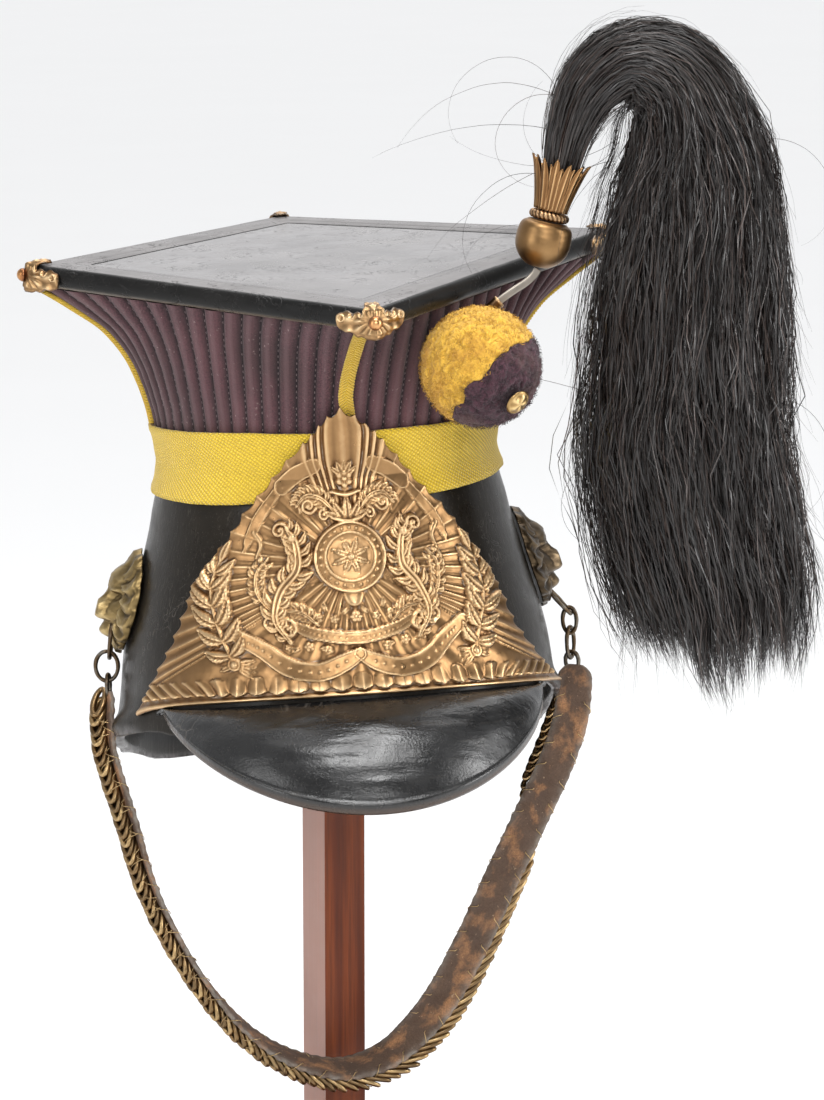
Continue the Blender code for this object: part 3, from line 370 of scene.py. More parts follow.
def facing(location, direction):
    """Frame at a location whose z axis runs along a direction."""
    turn = Vector(direction).to_track_quat("Z", "Y").to_matrix().to_4x4()
    return Matrix.Translation(location) @ turn


def placed(matrix, points):
    turn = np.array(matrix, float)
    return np.asarray(points, float) @ turn[:3, :3].T + turn[:3, 3]


# Materials: each piece has its map in millimetres and a mark for edges, ridges or recesses


def rise(low, high, top=1.0):
    """Stops of a ramp that is 0 up to low and top from high on."""
    return [(low, 0.0), (high, top)]


class Skin:
    """Small helper that wires a Principled material."""

    def __init__(self, name, rough=0.5, metal=0.0):
        self.made = bpy.data.materials.new(name)
        self.made.use_nodes = True
        self.tree = self.made.node_tree
        self.shader = self.tree.nodes["Principled BSDF"]
        self.shader.inputs["Roughness"].default_value = rough
        self.shader.inputs["Metallic"].default_value = metal
        self.where = self.node("ShaderNodeTexCoord").outputs["Object"]
        self.map = self.node("ShaderNodeUVMap").outputs["UV"]
        self.mark = self.node("ShaderNodeAttribute", {"attribute_name": "mark"}).outputs["Fac"]
        self.last_bump = None

    def node(self, kind, settings=None, inputs=None):
        made = self.tree.nodes.new(kind)
        for key, value in (settings or {}).items():
            setattr(made, key, value)
        for key, value in (inputs or {}).items():
            self.feed(made.inputs[key], value)
        return made

    def feed(self, socket, value):
        if isinstance(value, bpy.types.NodeSocket):
            self.tree.links.new(value, socket)
        elif isinstance(value, tuple) and len(value) == 3 and socket.type == "RGBA":
            socket.default_value = (*value, 1.0)
        else:
            socket.default_value = value

    def scaled(self, vector, scale, turn=(0, 0, 0)):
        return self.node("ShaderNodeMapping", None, {
            "Vector": vector, "Scale": scale, "Rotation": tuple(math.radians(a) for a in turn)}).outputs["Vector"]

    def hairlines(self, scale, width, patch):
        """Short wandering cracks, gathered in patches."""
        thin = self.ramp(self.noise(scale, 2.0, None, 0.8),
                         [(0.5 - width, 0.0), (0.5, 1.0), (0.5 + width, 0.0)])
        return self.math("MULTIPLY", thin, self.ramp(self.noise(patch, 2.0), rise(0.54, 0.60)))

    def normal_part(self, axis):
        normal = self.node("ShaderNodeNewGeometry").outputs["Normal"]
        return self.node("ShaderNodeSeparateXYZ", None, {"Vector": normal}).outputs[axis]

    def facing_up(self, low, high):
        """From 0 to 1 as the surface turns to face the sky."""
        return self.ramp(self.normal_part("Z"), rise(low, high))

    def noise(self, scale, detail=3.0, vector=None, twist=0.0):
        return self.node("ShaderNodeTexNoise", None, {
            "Vector": self.where if vector is None else vector, "Scale": scale, "Detail": detail,
            "Roughness": 0.6, "Distortion": twist}).outputs["Fac"]

    def cells(self, scale, vector=None, feature="F1"):
        return self.node("ShaderNodeTexVoronoi", {"feature": feature}, {
            "Vector": self.where if vector is None else vector, "Scale": scale}).outputs["Distance"]

    def waves(self, scale, vector, direction, twist=0.0):
        return self.node("ShaderNodeTexWave", {
            "wave_type": "BANDS", "bands_direction": direction, "wave_profile": "SIN"}, {
            "Vector": vector, "Scale": scale, "Distortion": twist, "Detail": 1.0, "Detail Scale": 2.0}).outputs["Fac"]

    def ramp(self, factor, stops):
        made = self.node("ShaderNodeValToRGB", None, {"Fac": factor})
        line = made.color_ramp
        while len(line.elements) < len(stops):
            line.elements.new(0.5)
        for element, (at, tone) in zip(line.elements, stops):
            element.position = at
            element.color = (*tone, 1.0) if isinstance(tone, tuple) else (tone, tone, tone, 1.0)
        return made.outputs["Color"]

    def math(self, kind, first, second, limited=False):
        made = self.node("ShaderNodeMath", {"operation": kind, "use_clamp": limited})
        self.feed(made.inputs[0], first)
        self.feed(made.inputs[1], second)
        return made.outputs["Value"]

    def blend(self, factor, first, second, kind="MIX"):
        made = self.node("ShaderNodeMix", {"data_type": "RGBA", "blend_type": kind})
        self.feed(made.inputs[0], factor)
        self.feed(made.inputs[6], first)
        self.feed(made.inputs[7], second)
        return made.outputs[2]

    def tone_so_far(self):
        return self.shader.inputs["Base Color"].links[0].from_socket

    def colour(self, value):
        self.feed(self.shader.inputs["Base Color"], value)
        return self

    def rough(self, value):
        self.feed(self.shader.inputs["Roughness"], value)
        return self

    def bump(self, height, depth, strength):
        """Adds a bump, its depth in metres."""
        made = self.node("ShaderNodeBump", None, {"Height": height, "Strength": strength, "Distance": depth})
        if self.last_bump is not None:
            self.tree.links.new(self.last_bump, made.inputs["Normal"])
        self.last_bump = made.outputs["Normal"]
        self.tree.links.new(self.last_bump, self.shader.inputs["Normal"])
        return self

    def set(self, **values):
        for key, value in values.items():
            self.shader.inputs[key.replace("_", " ")].default_value = value
        return self


# Dark, base and light tone of each metal (dark is painted shade in the recesses, light a painted highlight on what
# stands out), the dust in its recesses, roughness, grain and amount of dirt
METALS = {
    "corner_leaf_gilt": ((0.15, 0.080, 0.036), (0.56, 0.36, 0.175), (0.82, 0.62, 0.37), (0.30, 0.28, 0.24),
                         0.30, 260.0, 0.55),
    "corner_bead_copper": ((0.16, 0.06, 0.03), (0.50, 0.235, 0.085), (0.70, 0.40, 0.18), (0.3, 0.3, 0.3),
                           0.25, 260.0, 0.55),
    "plate_gilt": ((0.105, 0.052, 0.022), (0.465, 0.275, 0.122), (0.80, 0.565, 0.315), (0.42, 0.36, 0.28),
                   0.29, 320.0, 0.40),
    "plate_back_brass": ((0.10, 0.06, 0.03), (0.34, 0.22, 0.10), (0.4, 0.3, 0.15), (0.3, 0.3, 0.28),
                         0.4, 260.0, 0.55),
    "lion_brass_left": ((0.060, 0.040, 0.017), (0.40, 0.285, 0.125), (0.74, 0.58, 0.31), (0.25, 0.24, 0.20),
                        0.30, 300.0, 0.4),
    "lion_brass_right": ((0.020, 0.014, 0.009), (0.12, 0.085, 0.05), (0.30, 0.22, 0.13), (0.25, 0.24, 0.20),
                         0.30, 300.0, 0.4),
    "ring_brass": ((0.09, 0.06, 0.035), (0.30, 0.21, 0.11), (0.5, 0.38, 0.2), (0.2, 0.2, 0.18), 0.32, 260.0, 0.55),
    "chain_brass": ((0.07, 0.05, 0.03), (0.34, 0.215, 0.10), (0.66, 0.48, 0.24), (0.20, 0.18, 0.15),
                    0.30, 420.0, 0.4),
    "button_gilt": ((0.12, 0.07, 0.03), (0.52, 0.34, 0.14), (0.8, 0.6, 0.3), (0.3, 0.3, 0.3), 0.28, 260.0, 0.55),
    "holder_brass": ((0.06, 0.035, 0.018), (0.28, 0.155, 0.075), (0.56, 0.37, 0.20), (0.3, 0.25, 0.2),
                     0.32, 260.0, 0.55),
    "stem_steel": ((0.14, 0.12, 0.10), (0.42, 0.38, 0.33), (0.7, 0.67, 0.6), (0.3, 0.25, 0.2), 0.3, 260.0, 0.55),
    "ball_brass": ((0.12, 0.066, 0.028), (0.35, 0.205, 0.088), (0.52, 0.34, 0.16), (0.3, 0.2, 0.12),
                   0.36, 260.0, 0.55),
    "plume_leaf_brass": ((0.08, 0.036, 0.015), (0.45, 0.245, 0.102), (0.72, 0.48, 0.25), (0.25, 0.18, 0.12),
                         0.30, 260.0, 0.55)}


def patent_leather(name, streak, tone=0.0085, gloss=0.22, scratch=0.45, shine=0.14, warm=(1.10, 0.87, 0.62)):
    """Black patent leather: worn gloss, fine light scratches along the streak that also serve as painted highlight
    streaks, and small specks.
    """
    s = Skin(name)
    lines = s.noise(1.0, 4.0, s.scaled(s.where, streak))
    specks = s.ramp(s.noise(1900.0, 2.0), [(0.0, 0.0), (0.66, 0.0), (0.74, 1.0)])
    wear = s.ramp(s.noise(38.0, 4.0), rise(0.30, 0.75))
    base = s.blend(wear, tuple(tone * c for c in warm), tuple(tone * 1.9 * c for c in warm))
    # Light scratch lines along the streak: partly scratches, partly painted highlight streaks.
    base = s.blend(s.ramp(lines, [(0.0, 0.0), (0.60, 0.0), (0.72, scratch)]), base, (0.085, 0.074, 0.060))
    base = s.blend(s.math("MULTIPLY", specks, 0.4), base, (0.20, 0.18, 0.155))
    s.colour(base).rough(s.ramp(s.noise(90.0, 5.0), [(0.25, gloss), (0.75, gloss + 0.20)]))
    s.bump(lines, 0.00012, 0.5).bump(s.noise(420.0, 3.0), 0.00010, 0.6)
    return s.set(Coat_Weight=0.05, Coat_Roughness=0.12, Specular_IOR_Level=shine)


def old_metal(name):
    """Gilt or brass: painted highlight on what stands out, painted shade and dusty residue in the recesses, which mark
    tells.
    """
    dark, base, light, residue, rough, grain, dirt = METALS[name]
    s = Skin(name, rough, 1.0)
    fine = s.noise(grain, 4.0)
    # Painted shade where mark is low, painted highlight where it is high.
    tone = s.blend(s.ramp(s.mark, [(0.0, 0.0), (0.45, 0.55), (1.0, 1.0)]), dark, base)
    tone = s.blend(s.ramp(s.mark, rise(0.55, 1.0, 0.8)), tone, light)
    tone = s.blend(s.ramp(s.noise(60.0, 5.0), rise(0.35, 0.8, 0.45)), tone, dark)
    film = s.math("MULTIPLY", s.ramp(s.mark, [(0.0, 1.0), (0.16, 0.0)]),
                  s.ramp(s.noise(150.0, 3.0), rise(0.45, 0.62, dirt)))
    s.colour(s.blend(film, tone, residue))
    s.rough(s.ramp(fine, [(0.2, rough - 0.07), (0.8, rough + 0.18)]))
    return s.bump(fine, 0.00006, 0.5).bump(s.noise(900.0, 2.0), 0.00003, 0.5)


# Shape of the body, as in the CAD part


def warp(x, y):
    return BOARD_WARP * ((x / BOARD_CORNER) ** 2 - (y / BOARD_CORNER) ** 2)


def board_under(x, y):
    c, s = math.cos(BOARD_TURN), math.sin(BOARD_TURN)
    u, v = c * (x - BOARD_SHIFT) + s * y, -s * (x - BOARD_SHIFT) + c * y
    return BOARD_HEIGHT - BOARD_THICKNESS + v * math.tan(BOARD_TILT) + warp(u, v)


def skull_axes(height):
    flare = curve(SKULL_SECTION, np.asarray(height) / WAIST_HEIGHT)
    return mix(WAIST_RADIUS, SKULL_HALF_WIDTH, flare), mix(WAIST_RADIUS, SKULL_HALF_LENGTH, flare)


def skull_point(angle, height, offset=0.0):
    across, along = skull_axes(height)
    turn = np.radians(angle)
    return np.stack(np.broadcast_arrays(
        (across + offset) * np.sin(turn), -(along + offset) * np.cos(turn), np.asarray(height, float)), -1)


def rim_height(angle):
    return -RIM_DROP * curve(RIM_LINE, np.abs(signed(angle)))


def crown_reach(share):
    corner_radius = BOARD_CORNER - CROWN_INSET
    share = clamp(share)
    corner = mix(WAIST_RADIUS, corner_radius, curve(CROWN_SECTION, share, 1))
    middle = mix(WAIST_RADIUS, corner_radius / math.sqrt(2), curve(CROWN_SECTION, share, 2))
    return corner, middle


def crown_plan(share, place, offset):
    """Plan point and outward direction of the crown, with place from 0 to 4 round its corners."""
    share, place = np.broadcast_arrays(np.asarray(share, float), np.asarray(place, float))
    corner, middle = crown_reach(share)
    side = np.floor(place)
    along = place - side
    start = np.radians(90 * side - 90) + BOARD_TURN * share
    first = joined(np.cos(start), np.sin(start))
    second = joined(-np.sin(start), np.cos(start))
    out, chord = unit(first + second), unit(second - first)
    half = corner / math.sqrt(2)
    bow = np.maximum(middle - half, 1e-5)
    radius = (half * half + bow * bow) / (2 * bow)
    swing = np.arcsin(np.clip(half / radius, -1, 1))
    angle = (2 * along - 1) * swing
    round_flat = (out * (middle - radius)[..., None] + out * (radius * np.cos(angle))[..., None]
                  + chord * (radius * np.sin(angle))[..., None])
    normal = out * np.cos(angle)[..., None] + chord * np.sin(angle)[..., None]
    flat = round_flat + normal * np.asarray(offset)[..., None]
    flat = flat + joined(BOARD_SHIFT * share, 0.0)
    return flat, normal


def crown_point(part, place, offset=0.0):
    part, place, offset = np.broadcast_arrays(
        np.asarray(part, float), np.asarray(place, float), np.asarray(offset, float))
    base = WAIST_HEIGHT + CROWN_FOOT_GAP
    reach = np.full(part.shape, CROWN_HEIGHT)
    for _ in range(4):
        over, _ = crown_plan(reach / CROWN_HEIGHT, place, offset)
        reach = board_under(over[..., 0], over[..., 1]) - CROWN_TOP_GAP - base
    flat, _ = crown_plan(part * reach / CROWN_HEIGHT, place, offset)
    return np.concatenate([flat, (base + part * reach)[..., None]], -1)


def body_point(angle, height, offset):
    angle, height, offset = np.broadcast_arrays(
        np.asarray(angle, float), np.asarray(height, float), np.asarray(offset, float))
    low = skull_point(angle, np.minimum(height, WAIST_HEIGHT), offset)
    above = np.maximum(height - WAIST_HEIGHT, 0.0) / CROWN_HEIGHT
    radius = np.maximum(*crown_reach(above)) + offset
    turn = np.radians(angle)
    high = joined(BOARD_SHIFT * above + radius * np.sin(turn), -radius * np.cos(turn), height)
    return np.where((height <= WAIST_HEIGHT)[..., None], low, high)


def plate_base_height(angle):
    return PLATE_BASE - PLATE_BASE_FALL * (np.asarray(angle) / PLATE_HALF_ANGLE) ** 2


# Leather body

ROUND = np.linspace(0, 360, 240, endpoint=False)
# How much lower the rim of the leather hangs than the solid's, in millimetres, by angle
LEFT_DROP = (
    (-180, 0.0), (-114, 0.0), (-90, 3.5), (-78, 6.0), (-66, 8.0), (-57, 8.6), (-47, 4.0), (-36, 0.0), (180, 0.0))


def leather_rim(angle):
    """Rim of the dressed leather, which is also tucked behind the root of the peak."""
    tuck = 0.0022 * (1 - ease(52, 60, np.abs(signed(angle))))
    return rim_height(angle) - MM * curve(LEFT_DROP, signed(angle)) - tuck


def build_skull():
    s, a = grid_of(np.concatenate([np.linspace(0, 0.16, 20)[:-1], np.linspace(0.16, 1, 24)]), ROUND)
    rim = leather_rim(a)
    height = mix(rim, WAIST_HEIGHT, s)
    drop = height - rim
    sides = ease(55, 85, np.abs(signed(a)))
    puffy = bell(signed(a), -74, 24)
    roll = (0.0020 + 0.0019 * puffy) * bell(drop - 0.0034, 0.0012 * puffy, 0.0034 + 0.0020 * puffy)
    flat = skull_point(a, height)
    pucker = rough_noise(flat * (1.0, 1.0, 0.5), 0.011, 3) * np.exp(-drop / 0.010)
    lift = sides * (roll + 0.0009 * pucker) + 0.00022 * rough_noise(flat, 0.045, 9, 2)
    outer = skull_point(a, height - sides * 0.0012 * np.exp(-drop / 0.003) * pucker, lift)
    share, a = grid_of(np.linspace(1, 0, 18) ** 1.3, ROUND)
    rim = leather_rim(a)
    deep = share * (WAIST_HEIGHT - rim)
    inner = skull_point(a, rim + deep, -SKULL_WALL)
    worn = np.maximum((1 - ease(0.0, 0.009, drop)) * sides, 0.35 * puffy * (1 - ease(0.007, 0.012, drop)))
    # Marks: worn at the rim, falling to -1 deeper inside, where the inner face is painted dark as shade.
    edge = np.concatenate([worn, mix(1.0, -1.0, ease(0.0015, 0.0055, deep))])
    s = patent_leather("skull_patent_leather", (900.0, 900.0, 26.0))
    cracks = s.hairlines(120.0, 0.012, 26.0)
    tone = s.blend(s.math("MULTIPLY", cracks, 0.5), s.tone_so_far(), (0.10, 0.085, 0.07))
    # Light grey of the torn rim edge; on the puffy roll it also stands in for the roll's glossy grey, as painted
    # reflection.
    torn = s.math("MULTIPLY", s.ramp(s.mark, rise(0.35, 0.95)), s.ramp(s.noise(230.0, 4.0), rise(0.38, 0.60, 0.85)))
    tone = s.blend(torn, tone, (0.155, 0.145, 0.145))
    # Deeper inside the hat the inner face is painted near black: painted shade.
    inside = s.math("MULTIPLY", s.mark, -1.0, True)
    tone = s.blend(s.math("MULTIPLY", inside, 0.92), tone, (0.0018, 0.0015, 0.0013))
    s.colour(tone).bump(cracks, -0.00015, 0.6)
    Form().grid(np.concatenate([outer, inner]), True, True, marks=edge).make("skull_shell", s, ("skull",))


def peak_edge(share):
    sweep = share * math.pi / 2
    root = skull_point(PEAK_HALF_ANGLE, plate_base_height(PEAK_HALF_ANGLE))
    x = PEAK_HALF_WIDTH * np.sin(sweep)
    y = mix(root[1], -PEAK_REACH, np.cos(sweep))
    z = mix(root[2], -PEAK_DROP, np.cos(sweep) ** 1.4) - 0.06 * x * np.cos(sweep)
    turn = PEAK_TURN * np.cos(sweep)
    return joined(x * np.cos(turn) - y * np.sin(turn), x * np.sin(turn) + y * np.cos(turn), z)


def build_peak():
    part = np.concatenate([np.linspace(0, 0.94, 39), np.linspace(0.955, 1, 8)])
    p, s = grid_of(part, np.linspace(-1, 1, 141))
    angle = s * PEAK_HALF_ANGLE
    root = skull_point(angle, plate_base_height(angle) - 0.0015, 0.00195)
    flat = root + (peak_edge(s * 0.985) - root) * p[..., None]
    round_off = np.cos(s * math.pi / 2) ** 0.5
    bow = PEAK_BULGE * 4 * p * (1 - p) * round_off
    up = np.array([0.0, -0.6, 0.8])
    top = flat + up * bow[..., None]
    level = joined(top[..., 0] * 0.35, top[..., 1], top[..., 2])
    crease = rough_noise(level * (1, 1, 2.2), 0.016, 21) * ease(0.03, 0.2, p) * (1 - ease(0.75, 1.0, p))
    top = top + up * (0.0006 * crease * round_off)[..., None]
    top = top + up * (0.0008 * bell(p, 0.965, 0.018))[..., None]
    top = top - up * (0.0012 * ease(0.975, 1.0, p))[..., None]
    under = (flat + up * bow[..., None] + np.array([0.0, 0.62, -0.78]) * PEAK_WALL)[::-1]
    rings = np.concatenate([top, under]).transpose(1, 0, 2)
    worn = np.concatenate([ease(0.978, 0.994, p), ease(0.985, 0.997, p[::-1])]).T
    s = patent_leather("peak_patent_leather", (40.0, 40.0, 620.0), 0.0050, 0.18, 0.10, 0.55, (1.0, 1.0, 1.02))
    cracks = s.ramp(s.cells(150.0, s.scaled(s.where, (1.0, 1.0, 0.45)), "DISTANCE_TO_EDGE"),
                    [(0.0, 1.0), (0.035, 0.0)])
    cracks = s.math("MULTIPLY", cracks, s.ramp(s.noise(22.0, 3.0), rise(0.52, 0.66)))
    tone = s.blend(s.math("MULTIPLY", cracks, 0.55), s.tone_so_far(), (0.16, 0.14, 0.12))
    tone = s.blend(s.math("MULTIPLY", s.mark, 0.6), tone, (0.055, 0.030, 0.016))
    folds = s.noise(1.0, 3.0, s.scaled(s.where, (42.0, 210.0, 210.0)), 0.4)
    folds = s.math("MULTIPLY", folds, s.ramp(s.noise(30.0, 2.0), [(0.44, 0.15), (0.62, 1.0)]))
    s.colour(tone).bump(cracks, -0.00020, 0.7).bump(folds, 0.0011, 0.5)
    s.bump(s.noise(1050.0, 2.0), 0.00012, 0.9)
    Form().tube(rings, marks=worn).make("peak_leather", s, ("peak",))


# Crown, piping and band

CELLS_PER_FLUTE = 8
FLUTE_DEPTH = 0.0009
# Height of the waist band's edges, their slope from left to right and their column in the table of rises
BAND_EDGES = {"bottom": (0.0668, 0.015, 1), "top": (0.0932, 0.040, 2)}
# Rise of the waist band's lower and upper edge, in millimetres, by angle
BAND_RISE = (
    (-180, 0.0, 0.0), (-120, 0.3, 1.2), (-85, 0.9, 3.4), (-60, 2.0, 4.9), (-40, 3.2, 5.7), (-25, 3.9, 5.2),
    (-8, 3.9, 4.0), (25, 3.1, 2.4), (48, 2.9, 1.0), (75, 3.3, 0.4), (110, 1.6, 0.2), (180, 0.0, 0.0))


def flute_depth(share):
    return FLUTE_DEPTH * curve(CROWN_SECTION, share, 3)


def build_crown():
    place = np.arange(4 * FLUTES_PER_SIDE * CELLS_PER_FLUTE) / (FLUTES_PER_SIDE * CELLS_PER_FLUTE)
    s, p = grid_of(np.linspace(0, 1, 34), place)
    tube = clamp(np.sin(np.pi * ((p * FLUTES_PER_SIDE) % 1.0))) ** 0.62
    sway = 0.15 * rough_noise(joined(p * 8, s * 0.6, 0.0), 1.0, 31, 2)
    outer = crown_point(s, p, flute_depth(s) * (2.05 * tube - 0.55) + 0.00016 * sway)
    outer = outer + 0.00018 * rough_noise(outer, 0.004, 37, 2)[..., None] * flat_out(outer)
    form = Form().grid(outer, True, maps=joined(p * 480, s * 72), marks=tube)
    form.grid(crown_point(*grid_of(np.linspace(1, 0, 10), place[::4]), -CROWN_WALL), True)
    s = Skin("crown_wool_cloth", 0.92)
    fleck = s.noise(1500.0, 3.0)
    tone = s.blend(s.ramp(fleck, rise(0.30, 0.62)), (0.014, 0.006, 0.008), (0.078, 0.030, 0.037))
    tone = s.blend(s.ramp(s.noise(26.0, 4.0), rise(0.35, 0.7, 0.70)), tone, (0.102, 0.043, 0.048))
    tone = s.blend(s.ramp(s.noise(17.0, 2.0), rise(0.46, 0.62, 0.55)), tone, (0.030, 0.017, 0.017))
    # Lighter on the crests of the flutes: painted highlight, partly worn nap.
    tone = s.blend(s.ramp(s.mark, rise(0.90, 1.0, 0.30)), tone, (0.150, 0.090, 0.095))
    tone = s.blend(s.ramp(s.noise(700.0, 2.0), rise(0.67, 0.76, 0.7)), tone, (0.24, 0.18, 0.17))
    # Near black down in the grooves between the flutes: painted shade.
    tone = s.blend(s.ramp(s.mark, [(0.0, 0.97), (0.86, 0.0)]), tone, (0.004, 0.002, 0.003))
    s.colour(tone).bump(fleck, 0.00022, 0.9).bump(s.noise(800.0, 3.0), 0.00018, 0.6)
    form.make("crown_fluted_cloth", s.set(Sheen_Weight=0.10, Sheen_Roughness=0.5), ("crown_cloth",))


def build_stitches():
    """Light running stitches down in the grooves of the crown."""
    rng = np.random.default_rng(5)
    form = Form()
    for groove in range(4 * FLUTES_PER_SIDE):
        if groove % FLUTES_PER_SIDE == 0:
            continue
        place = groove / FLUTES_PER_SIDE
        run = np.arange(0.20, 0.985, 0.036) + rng.uniform(-0.004, 0.004)
        run = run[rng.uniform(0, 1, len(run)) > 0.12]
        lift = -flute_depth(run) * 0.25 + 0.00006
        low, high = crown_point(run, place, lift), crown_point(run + 0.016, place, lift)
        out = flat_out(low)
        for a, b, o, w in zip(low, high, out, np.cross(unit(high - low), out)):
            rows = []
            for t, r in ((0.0, 0.11), (0.5, 0.22), (1.0, 0.11)):
                c = a + (b - a) * t + o * 0.00022 * math.sin(math.pi * t)
                rows.append(c + MM * r * (np.cos(full_turn(4))[:, None] * w + np.sin(full_turn(4))[:, None] * o))
            form.tube(np.array(rows))
    s = Skin("crown_stitch_thread", 0.85)
    s.colour(s.blend(s.noise(900.0), (0.08, 0.052, 0.056), (0.22, 0.165, 0.17)))
    form.make("crown_stitches", s.bump(s.noise(3000.0), 0.0001, 0.5), (), "crown_cloth")


def yellow_skin(name, woven, dirt):
    """Yellow wool, woven as webbing or ridged where mark tells."""
    s = Skin(name, 0.9)
    if woven:
        cord = s.waves(0.25, s.scaled(s.map, (1.0, 1.0, 1.0), (0, 0, 33)), "Y")
        cross = s.waves(0.27, s.scaled(s.map, (1.0, 1.0, 1.0), (0, 0, -52)), "Y")
        weave = s.math("MULTIPLY", cord, s.math("ADD", s.math("MULTIPLY", cross, 0.85), 0.15))
    else:
        weave = s.mark
    # Darker where the weave or the braid's ridges sink: painted shade in their grooves.
    tone = s.blend(s.ramp(weave, rise(0.05, 0.55)), (0.52, 0.335, 0.012),
                   (0.90, 0.64, 0.036) if woven else (0.66, 0.43, 0.035))
    tone = s.blend(s.ramp(s.noise(32.0, 5.0), rise(0.45, 0.80, dirt)), tone, (0.30, 0.19, 0.04))
    tone = s.blend(s.ramp(s.noise(1500.0, 2.0), [(0.3, 0.35), (0.6, 0.0)]), tone, (0.42, 0.28, 0.03))
    s.colour(tone).bump(weave, 0.00050, 0.9).bump(s.noise(2600.0, 2.0), 0.00012, 0.7)
    return s.set(Sheen_Weight=0.25, Sheen_Roughness=0.5)


def build_piping():
    """Flat braid with herringbone ridges down each corner of the crown."""
    for place, name in enumerate(("front", "right", "back", "left")):
        foot = crown_point(0.0, place)
        top = band_edge("top", foot[0], (0, 90, 180, -90)[place]) + 0.0009
        start = float((top - foot[2]) / (crown_point(1.0, place)[2] - foot[2]))
        share = np.linspace(start, 0.985, 260)
        line = crown_point(share, place)
        out = flat_out(line - (BOARD_SHIFT, 0, 0))
        side = joined(-out[:, 1], out[:, 0], 0.0)
        if name == "front":
            bend = np.interp(share, (start, 0.50, 0.62, 1.0), (0.0003, -0.0024, -0.0022, 0.0004))
            line = line + side * np.convolve(np.pad(bend, 12, "edge"), np.full(25, 0.04), "valid")[:, None]
        across = np.linspace(-1, 1, 13)
        u, v = np.meshgrid(across, run_of(line) / MM)
        plaited = name in ("front", "back")
        fold = np.abs(u) if plaited else u * 0.5 + 0.5
        ridge = 0.5 + 0.5 * np.cos(2 * np.pi * (v / 1.25 + fold * 1.6))
        ridge = ridge ** 0.7 * (1 - 0.55 * bell(u, 0, 0.10) * plaited)
        width = PIPING_WIDTH / 2 * (0.97 + 0.05 * ridge)
        lift = flute_depth(clamp(share))[:, None] + 0.0003
        plump = 1.0 if name == "front" else 1.6
        high = lift + PIPING_THICKNESS * plump * (0.55 + 0.40 * ridge) * (1 - 0.35 * np.abs(u) ** 4)
        points = []
        for level, pick in ((high, slice(None)), (-0.0004 + 0 * u, slice(None, None, -12))):
            points.append(line[:, None] + out[:, None] * level[:, pick, None]
                          + side[:, None] * (across[None, pick] * width[:, pick])[..., None])
        marks = np.concatenate([ridge, ridge[:, ::12] * 0], 1)
        Form().tube(np.concatenate(points, 1), marks=marks).make(
            "piping_braid_" + name, yellow_skin("piping_braid_" + name, False, 0.35), ("crown_piping_" + name,))


def band_edge(side, x, angle):
    """Height of the waist band's edge, which wanders round the hat."""
    height, slope, column = BAND_EDGES[side]
    return height + slope * x + MM * curve(BAND_RISE, signed(angle), column)


def build_band():
    p, a = grid_of(np.linspace(0, 1, 15), ROUND)
    sine, cosine = np.sin(np.radians(a)), np.cos(np.radians(a))
    x = WAIST_RADIUS * sine
    wave = 0.00035 * rough_noise(joined(cosine, sine, 0.0), 0.2, 41, 2)
    height = mix(band_edge("bottom", x, a), band_edge("top", x, a), p) + wave
    soft = 0.0005 * rough_noise(joined(sine, cosine, p * 0.3), 0.35, 43)
    bulge = 0.0007 * (bell(p, 0.05, 0.09) + bell(p, 0.95, 0.09))
    outer = body_point(a, height, BAND_EASE + BAND_THICKNESS - 0.0004 + bulge + np.maximum(soft, -0.0003))
    inner = body_point(a, height, BAND_EASE)[::-1]
    maps = joined(a * 1.16, p * 26)
    Form().grid(np.concatenate([outer, inner]), True, True, np.concatenate([maps, maps[::-1]])).make(
        "waist_band_web", yellow_skin("waist_band_web", True, 0.25), ("waist_band",))


# Top board

LEAF_REACH = 16.5
# Inset and height of the border's upper side, from its inner edge out
RIM_TOP = (
    (BORDER_WIDTH, -0.0008), (BORDER_WIDTH - 0.0001, -0.0006), (BORDER_WIDTH - 0.0004, -0.00052),
    (0.0150, -0.0003), (0.0140, -0.0002), (0.0133, -0.0003), (0.0126, -0.0001), (0.0100, 0.0001), (0.0070, 0.0),
    (0.0045, -0.0001))


def board_loop(inset, height):
    """Points round the square top board at each inset and height, in its own frame."""
    inset, height = np.broadcast_arrays(np.asarray(inset, float), np.asarray(height, float))
    inset, height = inset[..., None], height[..., None]
    half = BOARD_SIDE / 2 - inset
    corner = np.maximum(0.0030 - inset, 0.0006)
    loops = []
    for side in range(4):
        turn = math.radians(90 * side - 90)
        out = np.array([math.cos(turn + math.pi / 4), math.sin(turn + math.pi / 4)])
        reach = mix(-half + corner, half - corner, np.linspace(0, 1, 40))
        x, y = out[0] * half - out[1] * reach, out[1] * half + out[0] * reach
        loops.append(joined(x, y, height + warp(x, y)))
    return np.concatenate(loops, -2)


